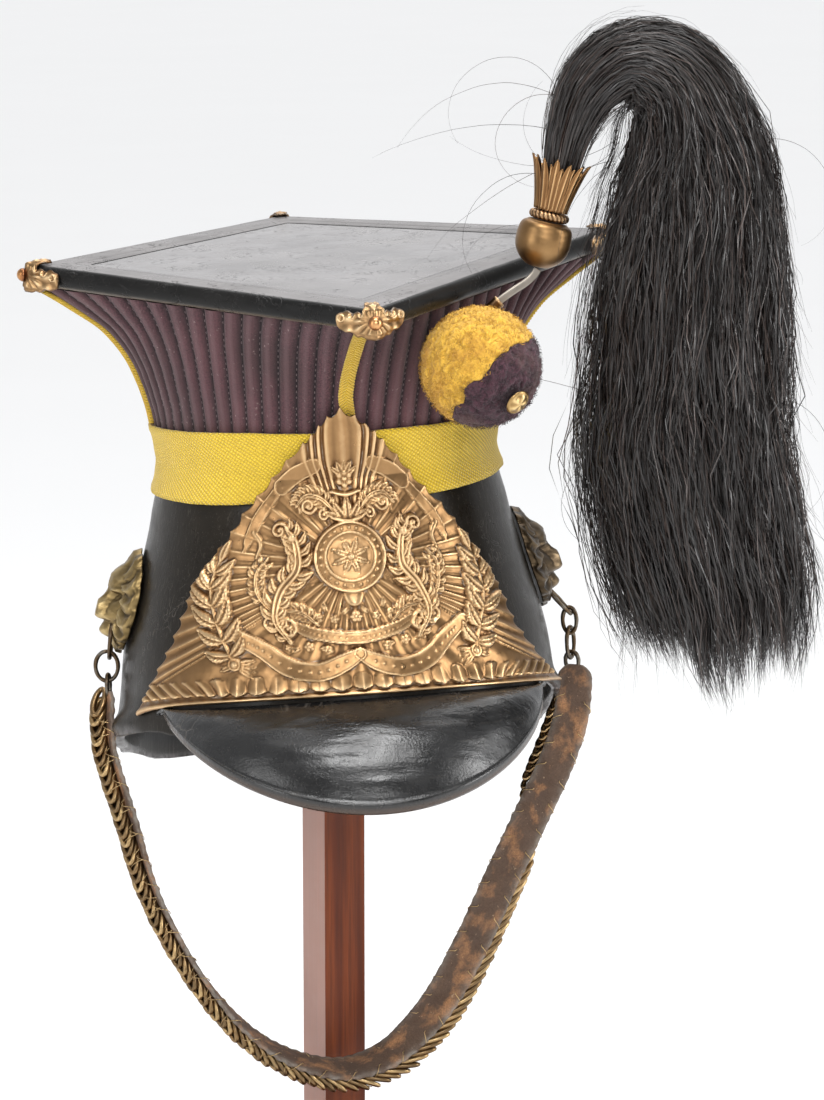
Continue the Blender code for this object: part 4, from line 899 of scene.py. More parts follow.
def board_leather(name, tone, sheen, shine):
    s = Skin(name)
    crack = s.math("MAXIMUM", s.hairlines(75.0, 0.014, 34.0), s.hairlines(190.0, 0.016, 52.0))
    worn = s.ramp(s.noise(24.0, 5.0), rise(0.3, 0.75))
    base = s.blend(worn, (tone, tone, tone), (tone * 2.0, tone * 1.9, tone * 1.8))
    base = s.blend(s.ramp(s.noise(1300.0, 3.0), rise(0.66, 0.76, 0.3)), base, (0.16, 0.15, 0.14))
    base = s.blend(s.math("MULTIPLY", crack, 0.6), base, (0.006, 0.005, 0.005))
    base = s.blend(s.math("MULTIPLY", s.mark, 0.6), base, (0.20, 0.16, 0.12))
    # Light grey on upward faces: dust, and also the grey sheen the top reflects, as painted reflection.
    dust_and_sheen = s.math("MULTIPLY", s.facing_up(0.93, 0.99), s.ramp(s.noise(34.0, 5.0), [(0.25, 0.55), (0.75, 1.0)]))
    base = s.blend(dust_and_sheen, base, (0.205, 0.193, 0.191), "SCREEN")
    base = s.blend(s.math("MULTIPLY", crack, 0.85), base, (0.012, 0.011, 0.010))
    s.colour(base).rough(s.ramp(s.noise(70.0, 5.0), [(0.25, sheen), (0.8, sheen + 0.22)]))
    s.bump(crack, -0.00022, 0.8).bump(s.noise(500.0, 3.0), 0.00008, 0.6).bump(s.noise(45.0), 0.0004, 0.4)
    return s.set(Specular_IOR_Level=shine)


def build_board():
    turn = np.linspace(0, np.pi, 15)
    tuck = BOARD_THICKNESS / 2
    inset, height = np.array(RIM_TOP).T
    inset = np.concatenate([inset, tuck * 0.75 * (1 - np.sin(turn)), [0.0060, BORDER_WIDTH]])
    height = np.concatenate([height, -tuck + tuck * np.cos(turn), [-BOARD_THICKNESS, -BOARD_THICKNESS]])
    rings = board_loop(inset, height)
    rings = rings + 0.00035 * rough_noise(rings, 0.014, 51)[..., None] * flat_out(rings) * (
        ease(0.02, 0.0, inset))[:, None, None]
    lower_seam = bell(height, -BOARD_THICKNESS * 0.97, 0.0008) * (inset < 0.005)
    Form().grid(rings, True, True, marks=np.broadcast_to(lower_seam[:, None], rings.shape[:2])).make(
        "board_rim", board_leather("board_rim_leather", 0.006, 0.20, 0.14), ("rim_binding",), place=BOARD)

    edge = BORDER_WIDTH + 0.0003
    share = np.concatenate([[0, 0.0015, 0.006], np.linspace(0.024, 0.94, 39)])
    top = board_loop(edge + (BOARD_SIDE / 2 - edge) * share, -0.0007)
    top[..., 2] += 0.00025 * rough_noise(top, 0.03, 57) * ease(0, 0.1, share)[:, None]
    lower = board_loop(np.array([edge, BOARD_SIDE / 2 * 0.6]), -BOARD_THICKNESS)
    Form().tube(np.concatenate([top[::-1], lower])).make(
        "board_panel", board_leather("board_panel_leather", 0.012, 0.12, 0.75), ("top_panel",), place=BOARD)


def leaf_relief(u, v):
    """Height from 0 to 1 of the stamped leaf, u along the edge and v down from it, in millimetres."""
    away = np.hypot(u, v - 3.6)
    bearing = np.arctan2(v - 3.6, np.abs(u) + 1e-6)
    veins = 0.5 + 0.5 * np.cos(bearing * 15 + 0.5 * np.sin(away * 0.6))
    high = 0.30 + 0.55 * veins ** 0.8 * ease(2.0, 5.0, away)
    lobes = 0.5 + 0.5 * np.cos((np.abs(u) - 6.0) * 1.25)
    high = high * (0.72 + 0.28 * lobes)
    for u0, v0, radius in ((14.0, 3.4, 2.0), (9.4, 1.9, 1.8), (5.4, 0.9, 1.5)):
        ring = np.hypot(np.abs(u) - u0, v - v0)
        high = np.maximum(high, 0.95 * bell(ring, radius * 0.72, 0.50))
        high = high - 0.40 * bell(ring, 0, 0.55)
    buds = 0.45 + 0.30 * np.cos(u * 1.9) * np.cos(v * 1.5) + 0.15 * np.cos(u * 0.8)
    high = mix(high, buds, ease(0.5, -1.0, v))
    return clamp(mix(high, 0.28 + 0.5 * bell(v, 9.9, 0.45), ease(8.3, 8.9, v)))


def leaf_form():
    """Points and marks of the leaf over the front corner: side lobes, a bumpy top lobe and a bead."""
    run = np.sin(np.linspace(-1, 1, 111) * math.pi / 2)
    part, t = np.meshgrid(np.linspace(0, 1, 55), mix(run, np.linspace(-1, 1, 111), 0.5))
    away = np.abs(t)
    wave = 0.5 + 0.5 * np.cos(away * LEAF_REACH * 1.30)
    top = mix(-9.2 + 1.1 * np.abs(np.sin(t * 22)), 0.5 + 0.7 * wave, ease(0.10, 0.34, away))
    low = 10.6 - 1.6 * ease(0.25, 0.80, away) - 0.7 * wave * ease(0.1, 0.3, away)
    close = np.sqrt(clamp(1 - (clamp(away - 0.86) / 0.14) ** 2))
    middle = mix(0.5 * (top + low), 3.6, 0.4)
    top, low = middle + (top - middle) * close, middle + (low - middle) * close
    v = mix(top, low, part)
    edge_fall = ease(0.0, 0.10, part) * ease(1.0, 0.90, part) * ease(1.0, 0.965, away)
    high = leaf_relief(LEAF_REACH * t, v) * edge_fall
    side = np.sign(t) + (t == 0)
    edge = joined(0.0, 0.0 * t - BOARD_CORNER, 0.0) + unit(joined(side, 1.0, 0.0)) * (
        away * (LEAF_REACH / 1000))[..., None]
    out = unit(joined(np.tanh(t / 0.10), -1.0, 0.0))
    up = np.array([0.0, 0.0, 1.0])
    lap, drop = np.clip(-v, 0, None) * MM, np.clip(v, 0, None) * MM
    over = ease(1.8, -1.8, v)
    face = unit(out * (1 - over)[..., None] + up * over[..., None])
    base = edge + joined(0.0, lap, 0.0) + out * 0.0005 - up * drop[..., None] + up * (0.0007 * over)[..., None]
    base = base - (out + up) * (0.0008 * bell(v, 0, 2.4))[..., None]
    front = base + face * (0.0008 + 0.0013 * high * mix(1.0, 0.55, over))[..., None]
    # The leaf's marks are its relief height: darker in its hollows (painted shade), lighter on its tops (painted
    # highlight).
    return np.concatenate([front, base[:, ::-6]], 1), np.concatenate([high, 0 * high[:, ::6]], 1)


def build_corner_leaves():
    """Stamped leaf folded over each corner of the board, and a bead on it."""
    rings, marks = leaf_form()
    skin, bead_skin = old_metal("corner_leaf_gilt"), old_metal("corner_bead_copper")
    polar, turn = grid_of(np.linspace(0.04, 1.0, 14) * math.pi / 2, full_turn(32))
    ball = joined(np.sin(polar) * np.cos(turn), np.sin(polar) * np.sin(turn), np.cos(polar)) * 0.0027
    seat = facing((0, -BOARD_CORNER - 0.0014, -0.0040), (0.0, -1.0, 0.12))
    for spin, name in enumerate(("front", "right", "back", "left")):
        turned = np.array(Matrix.Rotation(math.radians(90 * spin), 3, "Z"))
        leaf, dome = rings @ turned.T, placed(seat, ball) @ turned.T
        for points in (leaf, dome):
            points[..., 2] += warp(points[..., 0], points[..., 1])
        Form().tube(leaf, marks=marks).make("corner_ornament_" + name, skin, ("corner_leaf_" + name,), place=BOARD)
        # The bead is marked lighter at its crown and darker toward its foot: painted highlight and painted shade.
        Form().tube(dome, marks=np.cos(polar)).make(
            "corner_bead_" + name, bead_skin, (), "corner_leaf_" + name, place=BOARD)


# Front plate: a relief drawn in millimetres, x along the plate and y up

PLATE_CELL = 0.41
LAUREL_STEMS = {
    -1: ((-44.0, 12.0), (-48.0, 20.0), (-51.0, 30.0), (-51.0, 40.0), (-48.5, 49.5)),
    1: ((46.0, 11.5), (50.0, 20.0), (53.0, 30.0), (52.5, 40.0), (49.5, 49.0))}
# Place on the stem, length, half width and opening angle of each pair of leaves
LAUREL_LEAVES = (
    (5, 10.5, 2.3, 56), (14, 11.5, 2.6, 52), (23, 12.0, 2.7, 48), (32, 12.0, 2.7, 44), (41, 11.0, 2.5, 38),
    (50, 9.5, 2.1, 32))
# Route, half widths and height of each acanthus stem, then length, half width, gap and seed of its lobes
BRANCHES = (
    (((23, 20.5), (27.5, 29), (24.5, 39), (19, 47), (20, 56), (24, 62)), (0.8, 1.4, 1.8, 1.8, 1.5, 0.8),
     2.7, 7.4, 1.75, 5, 5),
    (((27, 30), (32.5, 37), (33.5, 45), (30, 50.5)), (0.8, 0.9, 0.8, 0.5), 2.0, 4.6, 1.15, 7, 15),
    (((13, 26.5), (18, 31), (24, 32)), (0.5, 0.8, 0.8), 2.0, 4.4, 1.2, 9, 25),
    (((5, 67.5), (10, 72.5), (16, 73.5), (20, 69.5)), (0.6, 1.0, 1.0, 0.5), 2.2, 5.6, 1.3, 6, 35))
SMALL_ARC = ((-21, 26.5), (-14, 23.5), (0, 21.6), (14, 24.0), (21, 27.0))
LOWER_RIBBONS = (
    (((-41, 21.5), (-33, 17.5), (-24, 11.5), (-14, 10.0), (-6, 13.0), (0, 16.0)),
     (3.0, 3.3, 3.6, 3.6, 3.4, 2.2), 1.9),
    (((0, 16.0), (6, 12.5), (15, 10.0), (25, 12.0), (34, 18.5), (41, 23.0)),
     (2.2, 3.4, 3.6, 3.6, 3.3, 3.0), 1.9),
    (SMALL_ARC, (1.8, 2.3, 2.4, 2.3, 1.8), 2.0))
# Route, radius, free share at the ends and count of each row of beads
BEAD_ROWS = (
    (SMALL_ARC, 0.5, 0.06, 27), (((-38, 20.0), (-33, 17.5), (-24, 11.5), (-14, 10.0), (-5, 13.5)), 0.85, 0.0, 13),
    (((5, 13.0), (15, 10.0), (25, 12.0), (34, 18.5), (38, 21.0)), 0.85, 0.0, 13))
LOWER_FLOWERS = (
    (-17, 19, 1.9), (-10.5, 17.6, 1.7), (10.5, 18, 1.7), (17.5, 19.5, 1.9), (-24, 18.8, 1.6),
    (25, 20.5, 1.7), (-7.5, 28.5, 1.6), (7.5, 29, 1.6), (-12.5, 29.5, 1.5), (12.5, 30, 1.5))
LOWER_LEAVES = (
    (-20, 18.5, 195), (-13.5, 18, 10), (13.5, 18.5, 170), (20.5, 20, -15), (-5, 30, 40),
    (5, 30, 140), (-10, 31, 100), (10, 31.5, 80), (-16, 31, 150), (16, 31.5, 30))
PALMETTE = (
    (0, 64, 90, 9.5, 2.2), (-1, 64, 122, 8.5, 1.9), (1, 64, 58, 8.5, 1.9), (-2, 64.5, 155, 7.5, 1.6),
    (2, 64.5, 25, 7.5, 1.6))


class Relief:
    """Height of the plate's face over a field of points, raised shape by shape."""

    def __init__(self, x, y):
        self.x, self.y = x, y
        self.high = np.zeros(x.shape)

    def near(self, x0, x1, y0, y1, room):
        return np.nonzero((self.x > min(x0, x1) - room) & (self.x < max(x0, x1) + room)
                          & (self.y > min(y0, y1) - room) & (self.y < max(y0, y1) + room))[0]

    def lift(self, at, shape, inside):
        at, shape = at[inside], shape[inside]
        self.high[at] = np.maximum(self.high[at], shape)

    def leaf(self, x0, y0, angle, length, width, high, bend=0.0):
        """Lanceolate leaf from its foot, with a groove along the middle and fine veins."""
        a = math.radians(angle)
        tip = (x0 + length * math.cos(a), y0 + length * math.sin(a))
        at = self.near(x0, tip[0], y0, tip[1], width * 2 + abs(bend))
        dx, dy = self.x[at] - x0, self.y[at] - y0
        t = (dx * math.cos(a) + dy * math.sin(a)) / length
        s = -dx * math.sin(a) + dy * math.cos(a) - bend * np.sin(np.pi * clamp(t))
        half = width * np.sin(np.pi * clamp(t) ** 0.85) ** 0.8 + 0.02
        inside = (t > 0) & (t < 1) & (np.abs(s) < half)
        q = clamp(np.abs(s) / half)
        shape = high * (0.35 + 0.65 * np.sqrt(1 - q ** 2.5)) * (0.75 + 0.25 * np.sin(np.pi * clamp(t)))
        shape = shape - 0.42 * high * bell(s, 0, 0.30) * (t < 0.9)
        shape = shape + 0.06 * high * np.cos(2 * np.pi * (t * 7 - q * 1.3))
        self.lift(at, shape, inside)

    def stroke(self, points, widths, high, groove=0.0, flat=0.0):
        """Curved form whose half width changes along it, domed or flat on top."""
        rows = np.array([(*p, w) for p, w in zip(points, widths)], float)
        fine = smooth_route(rows, 12 * len(rows))
        room = fine[:, 2].max()
        at = self.near(fine[:, 0].min(), fine[:, 0].max(), fine[:, 1].min(), fine[:, 1].max(), room)
        px, py = self.x[at], self.y[at]
        best, along = np.full(len(at), 9.0), np.zeros(len(at))
        for k in range(len(fine) - 1):
            a, b = fine[k], fine[k + 1]
            d = b[:2] - a[:2]
            t = clamp(((px - a[0]) * d[0] + (py - a[1]) * d[1]) / max(d @ d, 1e-9))
            q = np.hypot(px - a[0] - d[0] * t, py - a[1] - d[1] * t) / np.maximum(a[2] + (b[2] - a[2]) * t, 0.05)
            closer = q < best
            best = np.where(closer, q, best)
            along = np.where(closer, k + t, along)
        q = clamp(best)
        dome = np.sqrt(1 - q ** 2)
        plane = 0.82 - ease(0.90, 1.0, q) * 0.6 + 0.30 * bell(q, 0.84, 0.06)
        shape = high * (plane if flat else 0.25 + 0.75 * dome)
        shape = shape - groove * high * bell(q, 0, 0.22)
        self.lift(at, shape, best < 1)

    def dome(self, x, y, radius, high, power=0.5):
        at = self.near(x, x, y, y, radius)
        q = np.hypot(self.x[at] - x, self.y[at] - y) / radius
        self.lift(at, high * clamp(1 - q * q) ** power, q < 1)

    def hoop(self, x, y, radius, half, high):
        at = self.near(x, x, y, y, radius + half)
        q = np.abs(np.hypot(self.x[at] - x, self.y[at] - y) - radius) / half
        self.lift(at, high * np.sqrt(clamp(1 - q * q)), q < 1)

    def flower(self, x, y, radius, high, petals, turn=0.0):
        for k in range(petals):
            a = 2 * math.pi * k / petals + turn
            self.dome(x + 0.58 * radius * math.cos(a), y + 0.58 * radius * math.sin(a), radius * 0.46, high * 0.85)
        self.dome(x, y, radius * 0.34, high * 1.1)

    def scroll(self, x, y, radius, start, turns, width, high):
        """Spiral that winds in to its eye."""
        t = np.linspace(0, 1, 12)
        a = math.radians(start) + 2 * math.pi * turns * t
        r = radius * (1 - 0.80 * t)
        self.stroke(joined(x + r * np.cos(a), y + r * np.sin(a)), width * (1 - 0.45 * t), high)
        self.dome(x, y, width * 1.1, high * 1.1)


PLATE_LOW = plate_base_height(PLATE_HALF_ANGLE) / MM


def side_outline(count):
    """Flat outline of one side of the plate, from its top down, with the count of scallops so far."""
    part = np.linspace(0, 1, count)
    rows = [(1.0 - share, share, angle) for share, angle in PLATE_SIDE]
    share = curve(rows, part, 1)
    x = curve(rows, part, 2) * PLATE_HALF_ANGLE * PLATE_RUN
    return x, mix(PLATE_LOW, PLATE_TOP / MM, share), part * SCALLOPS_PER_SIDE


def base_line(x):
    return plate_base_height(np.asarray(x) / PLATE_RUN) / MM


def plate_angle(x, y):
    """Angle round the hat of a point of the flat plate, whose sides lean a little."""
    share = clamp((y - PLATE_LOW) / (PLATE_TOP / MM - PLATE_LOW))
    angle = x / PLATE_RUN
    out = np.clip(angle / np.maximum(curve(PLATE_SIDE, share) * PLATE_HALF_ANGLE, 2.0), -1, 1)
    left, middle, right = (curve(PLATE_LEAN, share, k) for k in (1, 2, 3))
    return angle + middle + np.where(out < 0, (left - middle) * -out, (right - middle) * out)


def plate_lift(height):
    """Room between the body and the sheet, which passes over the waist band."""
    return mix(PLATE_EASE, PLATE_OVER_BAND, ease(0.70, 0.82, height / WAIST_HEIGHT))


def laurel(relief, side):
    """Spray of leaves in pairs up a curved stem, with berries, and the knot at its foot."""
    stem = LAUREL_STEMS[side]
    relief.stroke(stem, (0.9, 0.8, 0.7, 0.6, 0.4), 1.7)
    line = smooth_route(stem, 60)
    lean = tangents(line)
    rng = np.random.default_rng(11 if side < 0 else 12)
    for at, reach, wide, open_by in LAUREL_LEAVES:
        heading = math.degrees(math.atan2(lean[at, 1], lean[at, 0]))
        for hand in (-1, 1):
            turn = heading + hand * open_by + rng.uniform(-6, 6)
            relief.leaf(*line[at], turn, reach, wide, 2.7 + 0.35 * hand, hand * 1.1)
        berry = math.radians(heading + rng.choice((-1, 1)) * 95)
        relief.dome(line[at, 0] + 2.6 * math.cos(berry), line[at, 1] + 2.6 * math.sin(berry), 0.95, 1.9)
    relief.leaf(*line[-3], math.degrees(math.atan2(lean[-1, 1], lean[-1, 0])), 9.0, 1.8, 2.1)
    for turn in (-170, -150, -35, -20, -5, 12):
        relief.leaf(*stem[0], turn if side < 0 else 180 - turn, 8.5 if abs(turn) < 90 else 6.5, 1.2, 1.5)
    relief.dome(*stem[0], 1.9, 2.3)
    relief.hoop(*stem[0], 2.1, 0.6, 1.7)


def acanthus(relief, rows, widths, high, reach, wide, gap, seed):
    """Leafy branch: a grooved stem with veined lobes fanned out along both sides of it."""
    relief.stroke(rows, widths, high, 0.45)
    line = smooth_route(rows, 61)
    lean = tangents(line)
    rng = np.random.default_rng(seed)
    for at in range(2, 58, gap):
        heading = math.degrees(math.atan2(lean[at, 1], lean[at, 0]))
        swell = 0.62 + 0.38 * math.sin(math.pi * at / 60)
        for hand in (-1, 1):
            turn = heading + hand * rng.uniform(34, 50)
            relief.leaf(*line[at], turn, reach * swell * rng.uniform(0.88, 1.1), wide * swell,
                        high * rng.uniform(0.78, 0.98), hand * 1.1)


def mirrored(side, rows):
    return [(side * x, y) for x, y in rows]


def foliage(relief, side):
    """Acanthus scrolls that stand on each side of the roundel."""
    for rows, widths, high, reach, wide, gap, seed in BRANCHES:
        acanthus(relief, mirrored(side, rows), widths, high, reach, wide, gap, seed + side)
    relief.scroll(side * 29.5, 27.5, 3.6, 90, side * 1.4, 0.8, 2.0)
    relief.scroll(side * 26.5, 61.0, 3.2, 180 if side > 0 else 0, -side * 1.4, 0.9, 2.5)
    relief.dome(side * 21.5, 58.5, 2.3, 3.0)
    relief.scroll(side * 15.0, 70.0, 3.0, 200 if side > 0 else -20, side * 1.5, 0.8, 2.2)
    relief.scroll(side * 9.0, 66.5, 2.2, 90, -side * 1.3, 0.7, 1.9)


def ribbons(relief, side):
    """Blank ribbons along the upper sides of the plate."""
    relief.stroke(mirrored(side, ((12.3, 84.8), (19.5, 81.5), (25.5, 77.0))), (3.3, 3.5, 3.4), 1.25, flat=1)
    relief.stroke(mirrored(side, ((26.5, 76.5), (31.0, 71.0), (35.5, 65.0), (38.5, 58.0), (39.5, 52.5))),
                  (1.9, 2.2, 2.5, 2.1, 0.7), 1.05, flat=1)
    relief.stroke(mirrored(side, ((37.0, 60.0), (33.5, 55.5), (34.5, 50.5))), (1.3, 1.1, 0.5), 1.3)


def bead_row(relief, rows, radius, margin, high, count):
    """Small raised beads in a line along the middle of a ribbon."""
    line = smooth_route(rows, 200)
    for at in np.linspace(margin, 1 - margin, count):
        relief.dome(*line[int(at * 199)], radius, high)


def base_flutes(x, rise):
    """Row of convex flutes over the flat strip at the foot of the plate."""
    away = np.abs(x)
    lean = ease(42, 62, away)
    cell = (x - np.sign(x) * rise * mix(0.0, 1.25, lean)) / mix(7.2, 6.0, lean)
    part = np.abs(cell - np.round(cell)) * 2
    reach = mix(8.6, 8.2, lean) - 2.4 * part ** 2 * (1 - lean) + 0.6 * ease(10, 40, away)
    scallop = mix(3.7 - 1.3 * (1 - part ** 2), 3.3, lean)
    t = clamp((rise - scallop) / np.maximum(reach - scallop, 0.1))
    shell = 2.2 * (1 - part) ** 0.55 * (1 - 0.60 * t) + 0.15
    ridge = 1.9 * (1 - part) * (1 - 0.25 * t) + 0.15
    return np.where((rise > scallop) & (rise < reach) & (away < 92), mix(shell, ridge, lean), 0)


def plate_ground(x, y):
    """Rays that run out to the scallops, the flutes along the foot and its lip."""
    centre = PLATE_CENTRE / MM
    sx, sy, scallop = side_outline(600)
    bearing = np.arctan2(sx, sy - centre)
    here = np.arctan2(np.abs(x), y - centre)
    count = np.interp(here, bearing, scallop)
    share = np.hypot(x, y - centre) / np.interp(here, bearing, np.hypot(sx, sy - centre))
    big = 1 - ease(1.8, 3.2, count)
    part = np.where(count < 2.0, np.abs(2 * count - np.round(2 * count)), np.abs(count - np.round(count))) * 2
    trough = mix(1 - np.sin(np.pi / 2 * part) ** 0.7, (0.5 + 0.5 * np.cos(np.pi * part)) ** 0.8, big)
    rays = 0.15 + trough * mix(0.85, 1.25, big) * ease(0.10, 0.45, share)
    fine = 0.5 + 0.5 * np.cos(2 * np.pi * count * 3.0)
    rays = rays + 0.22 * fine * (1 - big) * ease(0.95, 0.6, share)
    rays = rays * (1 - 0.35 * ease(0.93, 1.0, share))
    high = np.where(here > bearing[-1], 0.25 + 0.55 * (0.5 + 0.5 * np.cos(here * 40)), rays)
    rise = y - base_line(x)
    high = np.maximum(np.where(rise < 3.6, 0.10, high), base_flutes(x, rise))
    return np.maximum(high, 1.15 * bell(rise, 0.9, 0.75))


def roundel(relief, x, y):
    """Raised disc with two hoops, a ring of beads and a star of leaves."""
    relief.dome(x, y, 13.2, 2.5, 0.16)
    relief.stroke(((0, 40.0), (0, 36.2), (0, 34.6)), (4.2, 3.4, 2.0), 2.4)
    relief.hoop(x, y, 12.6, 0.75, 3.2)
    relief.hoop(x, y, 8.9, 0.6, 3.1)
    relief.dome(x, y, 8.3, 2.9, 0.25)
    for k in range(8):
        relief.leaf(x, y, 45 * k + 22.5, 7.2, 1.25, 3.55)
    relief.dome(x, y, 1.9, 3.9)
    for k in range(24):
        a = 2 * math.pi * k / 24
        relief.dome(10.75 * math.cos(a), y + 10.75 * math.sin(a), 0.62, 3.05)


def plate_height(x, y):
    """Relief of the plate's face in millimetres over the sheet."""
    relief = Relief(x, y)
    relief.high = plate_ground(x, y)
    for side in (-1, 1):
        ribbons(relief, side)
        foliage(relief, side)
        laurel(relief, side)
    for rows, widths, high in LOWER_RIBBONS:
        relief.stroke(rows, widths, high, flat=1)
    for rows, radius, margin, count in BEAD_ROWS:
        bead_row(relief, rows, radius, margin, 1.95, count)
    for side in (-1, 1):
        relief.scroll(side * 23.5, 25.5, 3.8, 150 if side < 0 else 30, side * 1.3, 0.9, 2.2)
    for x0, y0, radius in LOWER_FLOWERS:
        relief.flower(x0, y0, radius, 1.6, 5, x0)
    for x0, y0, turn in LOWER_LEAVES:
        relief.leaf(x0, y0, turn, 4.2, 0.9, 1.4)
    relief.flower(0.0, 29.2, 2.3, 2.1, 6)
    roundel(relief, 0.0, 51.0)
    for x0, y0, turn, reach, wide in PALMETTE:
        relief.leaf(x0, y0, turn, reach, wide, 2.5)
    relief.stroke(((-5.2, 65.2), (0, 64.0), (5.2, 65.2)), (0.9, 1.3, 0.9), 2.9)
    relief.flower(0.0, 79.5, 3.7, 2.6, 6, 0.5)
    for k in range(5):
        relief.leaf(0.0, 80.0, 90 + (k - 2) * 26, 7.0, 1.3, 2.0)
    relief.stroke(((-5.5, 74.8), (0, 73.6), (5.5, 74.8)), (0.8, 1.1, 0.8), 2.2)
    return relief.high


def plate_edge():
    """Closed flat outline of the plate with its concave scallops, in millimetres."""
    x, y, count = side_outline(1400)
    top = count < 2.0
    count = np.where(top, 2 * count, count)
    part = np.abs(count - np.round(count)) * 2
    pull = 1 - np.where(top, 0.040, 0.030) * np.sin(np.pi / 2 * part) ** 0.9
    centre = PLATE_CENTRE / MM
    sx, sy = x * pull, centre + (y - centre) * pull
    base = np.linspace(sx[-1], -sx[-1], 900)[1:-1]
    bx, by = base, base_line(base)
    return np.concatenate([sx, bx, -sx[::-1]]), np.concatenate([sy, by, sy[::-1]])


def inside_outline(px, py, ex, ey):
    """Whether points lie inside a closed outline, by the crossings of a level line."""
    inside = np.zeros(px.shape, bool)
    for x0, y0, x1, y1 in zip(ex, ey, np.roll(ex, -1), np.roll(ey, -1)):
        if y0 != y1:
            inside ^= ((y0 > py) != (y1 > py)) & (px < (x1 - x0) * (py - y0) / (y1 - y0) + x0)
    return inside


def build_plate():
    """Face on a square grid whose border points are drawn to the outline, with a skirt behind them."""
    ex, ey = plate_edge()
    x, y = np.meshgrid(*(np.arange(e.min() - PLATE_CELL, e.max() + 2 * PLATE_CELL, PLATE_CELL) for e in (ex, ey)))
    inside = inside_outline(x, y, ex[::2], ey[::2]).astype(int)
    kept = inside[:-1, :-1] + inside[1:, :-1] + inside[:-1, 1:] + inside[1:, 1:] >= 2
    touched = np.zeros(x.shape, int)
    for a, b in itertools.product((0, 1), repeat=2):
        touched[a:touched.shape[0] - 1 + a, b:touched.shape[1] - 1 + b] += kept
    used = touched > 0
    px, py = x[used].copy(), y[used].copy()
    at_border = touched[used] < 4
    bx, by = px[at_border], py[at_border]
    nearest = np.empty(len(bx), int)
    for start in range(0, len(bx), 400):
        part = slice(start, start + 400)
        nearest[part] = np.argmin((bx[part, None] - ex) ** 2 + (by[part, None] - ey) ** 2, axis=1)
    px[at_border], py[at_border] = ex[nearest], ey[nearest]
    number = np.full(x.shape, -1)
    number[used] = np.arange(used.sum())
    r, c = np.nonzero(kept)
    quads = joined(number[r, c], number[r, c + 1], number[r + 1, c + 1], number[r + 1, c])
    high = plate_height(px, py)
    high = high + 0.05 * rough_noise(joined(px, py, 0.0), 3.0, 71)
    high = np.where(at_border, np.minimum(high, 1.1), high)
    angle, height = plate_angle(px, py), py * MM
    lift = plate_lift(height)
    face = body_point(angle, height, lift + 0.0007 + 0.95 * MM * high)
    back = body_point(angle[at_border], height[at_border], lift[at_border])
    field = np.zeros(x.shape)
    field[used] = high
    # Marks say how far the relief rises above its surroundings: old_metal paints its hollows darker (painted shade)
    # and what stands out lighter (painted highlight).
    marks = clamp(0.42 + 0.50 * local_relief(field, 4)[used] + 0.45 * local_relief(field, 2)[used] + 0.09 * high)
    edges = np.concatenate([quads[:, [0, 1]], quads[:, [1, 2]], quads[:, [2, 3]], quads[:, [3, 0]]])
    key = np.sort(edges, 1)
    _, first, seen = np.unique(key[:, 0] * 10 ** 7 + key[:, 1], return_index=True, return_counts=True)
    rim = edges[first[seen == 1]]
    behind = np.full(len(px), -1)
    behind[np.nonzero(at_border)[0]] = np.arange(at_border.sum()) + len(px)
    skirt = rim[(behind[rim] >= 0).all(1)]
    walls = joined(skirt[:, 1], skirt[:, 0], behind[skirt[:, 0]], behind[skirt[:, 1]])
    form = Form()
    form.add(np.concatenate([face, back]), [quads, walls], np.concatenate([joined(px, py), np.zeros((len(back), 2))]),
             np.concatenate([marks, np.zeros(len(back))]))
    form.make("front_plate_relief", old_metal("plate_gilt").set(Metallic=0.95), ("front_plate",))
    build_plate_back(ex, ey)


def build_plate_back(ex, ey):
    """Plain inner face of the plate, so that it is closed from behind."""
    pick = np.linspace(0, len(ex) - 1, 300).astype(int)
    shares = np.linspace(1.0, 0.0, 10)[:, None]
    x = ex[pick] * shares
    y = PLATE_CENTRE / MM + (ey[pick] - PLATE_CENTRE / MM) * shares
    lift, angle = plate_lift(y * MM), plate_angle(x, y)
    rows = body_point(angle, y * MM, lift)
    front = body_point(angle, y * MM, lift + 0.0003)
    Form().grid(np.concatenate([rows[::-1], front[:-1]]), True).make(
        "front_plate_back", old_metal("plate_back_brass"), (), "front_plate")


# Lion bosses and rings

BOSS_RADIUS = 0.0205
BOSS_PROUD = 0.0130
BOSS_ANGLE = 92.0
BOSS_EASE = 0.0010
BOSS_HEIGHTS = {-1: 0.0235, 1: 0.0305}
WIRE = 0.00085
LINK_EASE = 0.0009


def hill(x, y, x0, y0, wide, tall, power=2.0):
    return np.exp(-(np.abs((x - x0) / wide) ** power + np.abs((y - y0) / tall) ** power))


# Height of the mask along its middle, and half width of that ridge, from chin to forehead
LION_PROFILE = (
    (-1.00, 0.4), (-0.90, 2.6), (-0.78, 5.0), (-0.64, 7.6), (-0.54, 8.6), (-0.45, 8.0), (-0.37, 7.4),
    (-0.30, 10.2), (-0.18, 12.0), (-0.07, 12.7), (0.03, 11.6), (0.14, 9.4), (0.26, 8.4), (0.38, 8.8),
    (0.50, 8.6), (0.62, 7.2), (0.76, 5.0), (0.88, 2.8), (1.00, 0.4))
LION_WIDTH = (
    (-1.00, 0.16), (-0.80, 0.20), (-0.54, 0.24), (-0.40, 0.27), (-0.25, 0.33), (-0.07, 0.25), (0.10, 0.21),
    (0.30, 0.40), (0.50, 0.44), (0.75, 0.36), (1.00, 0.20))
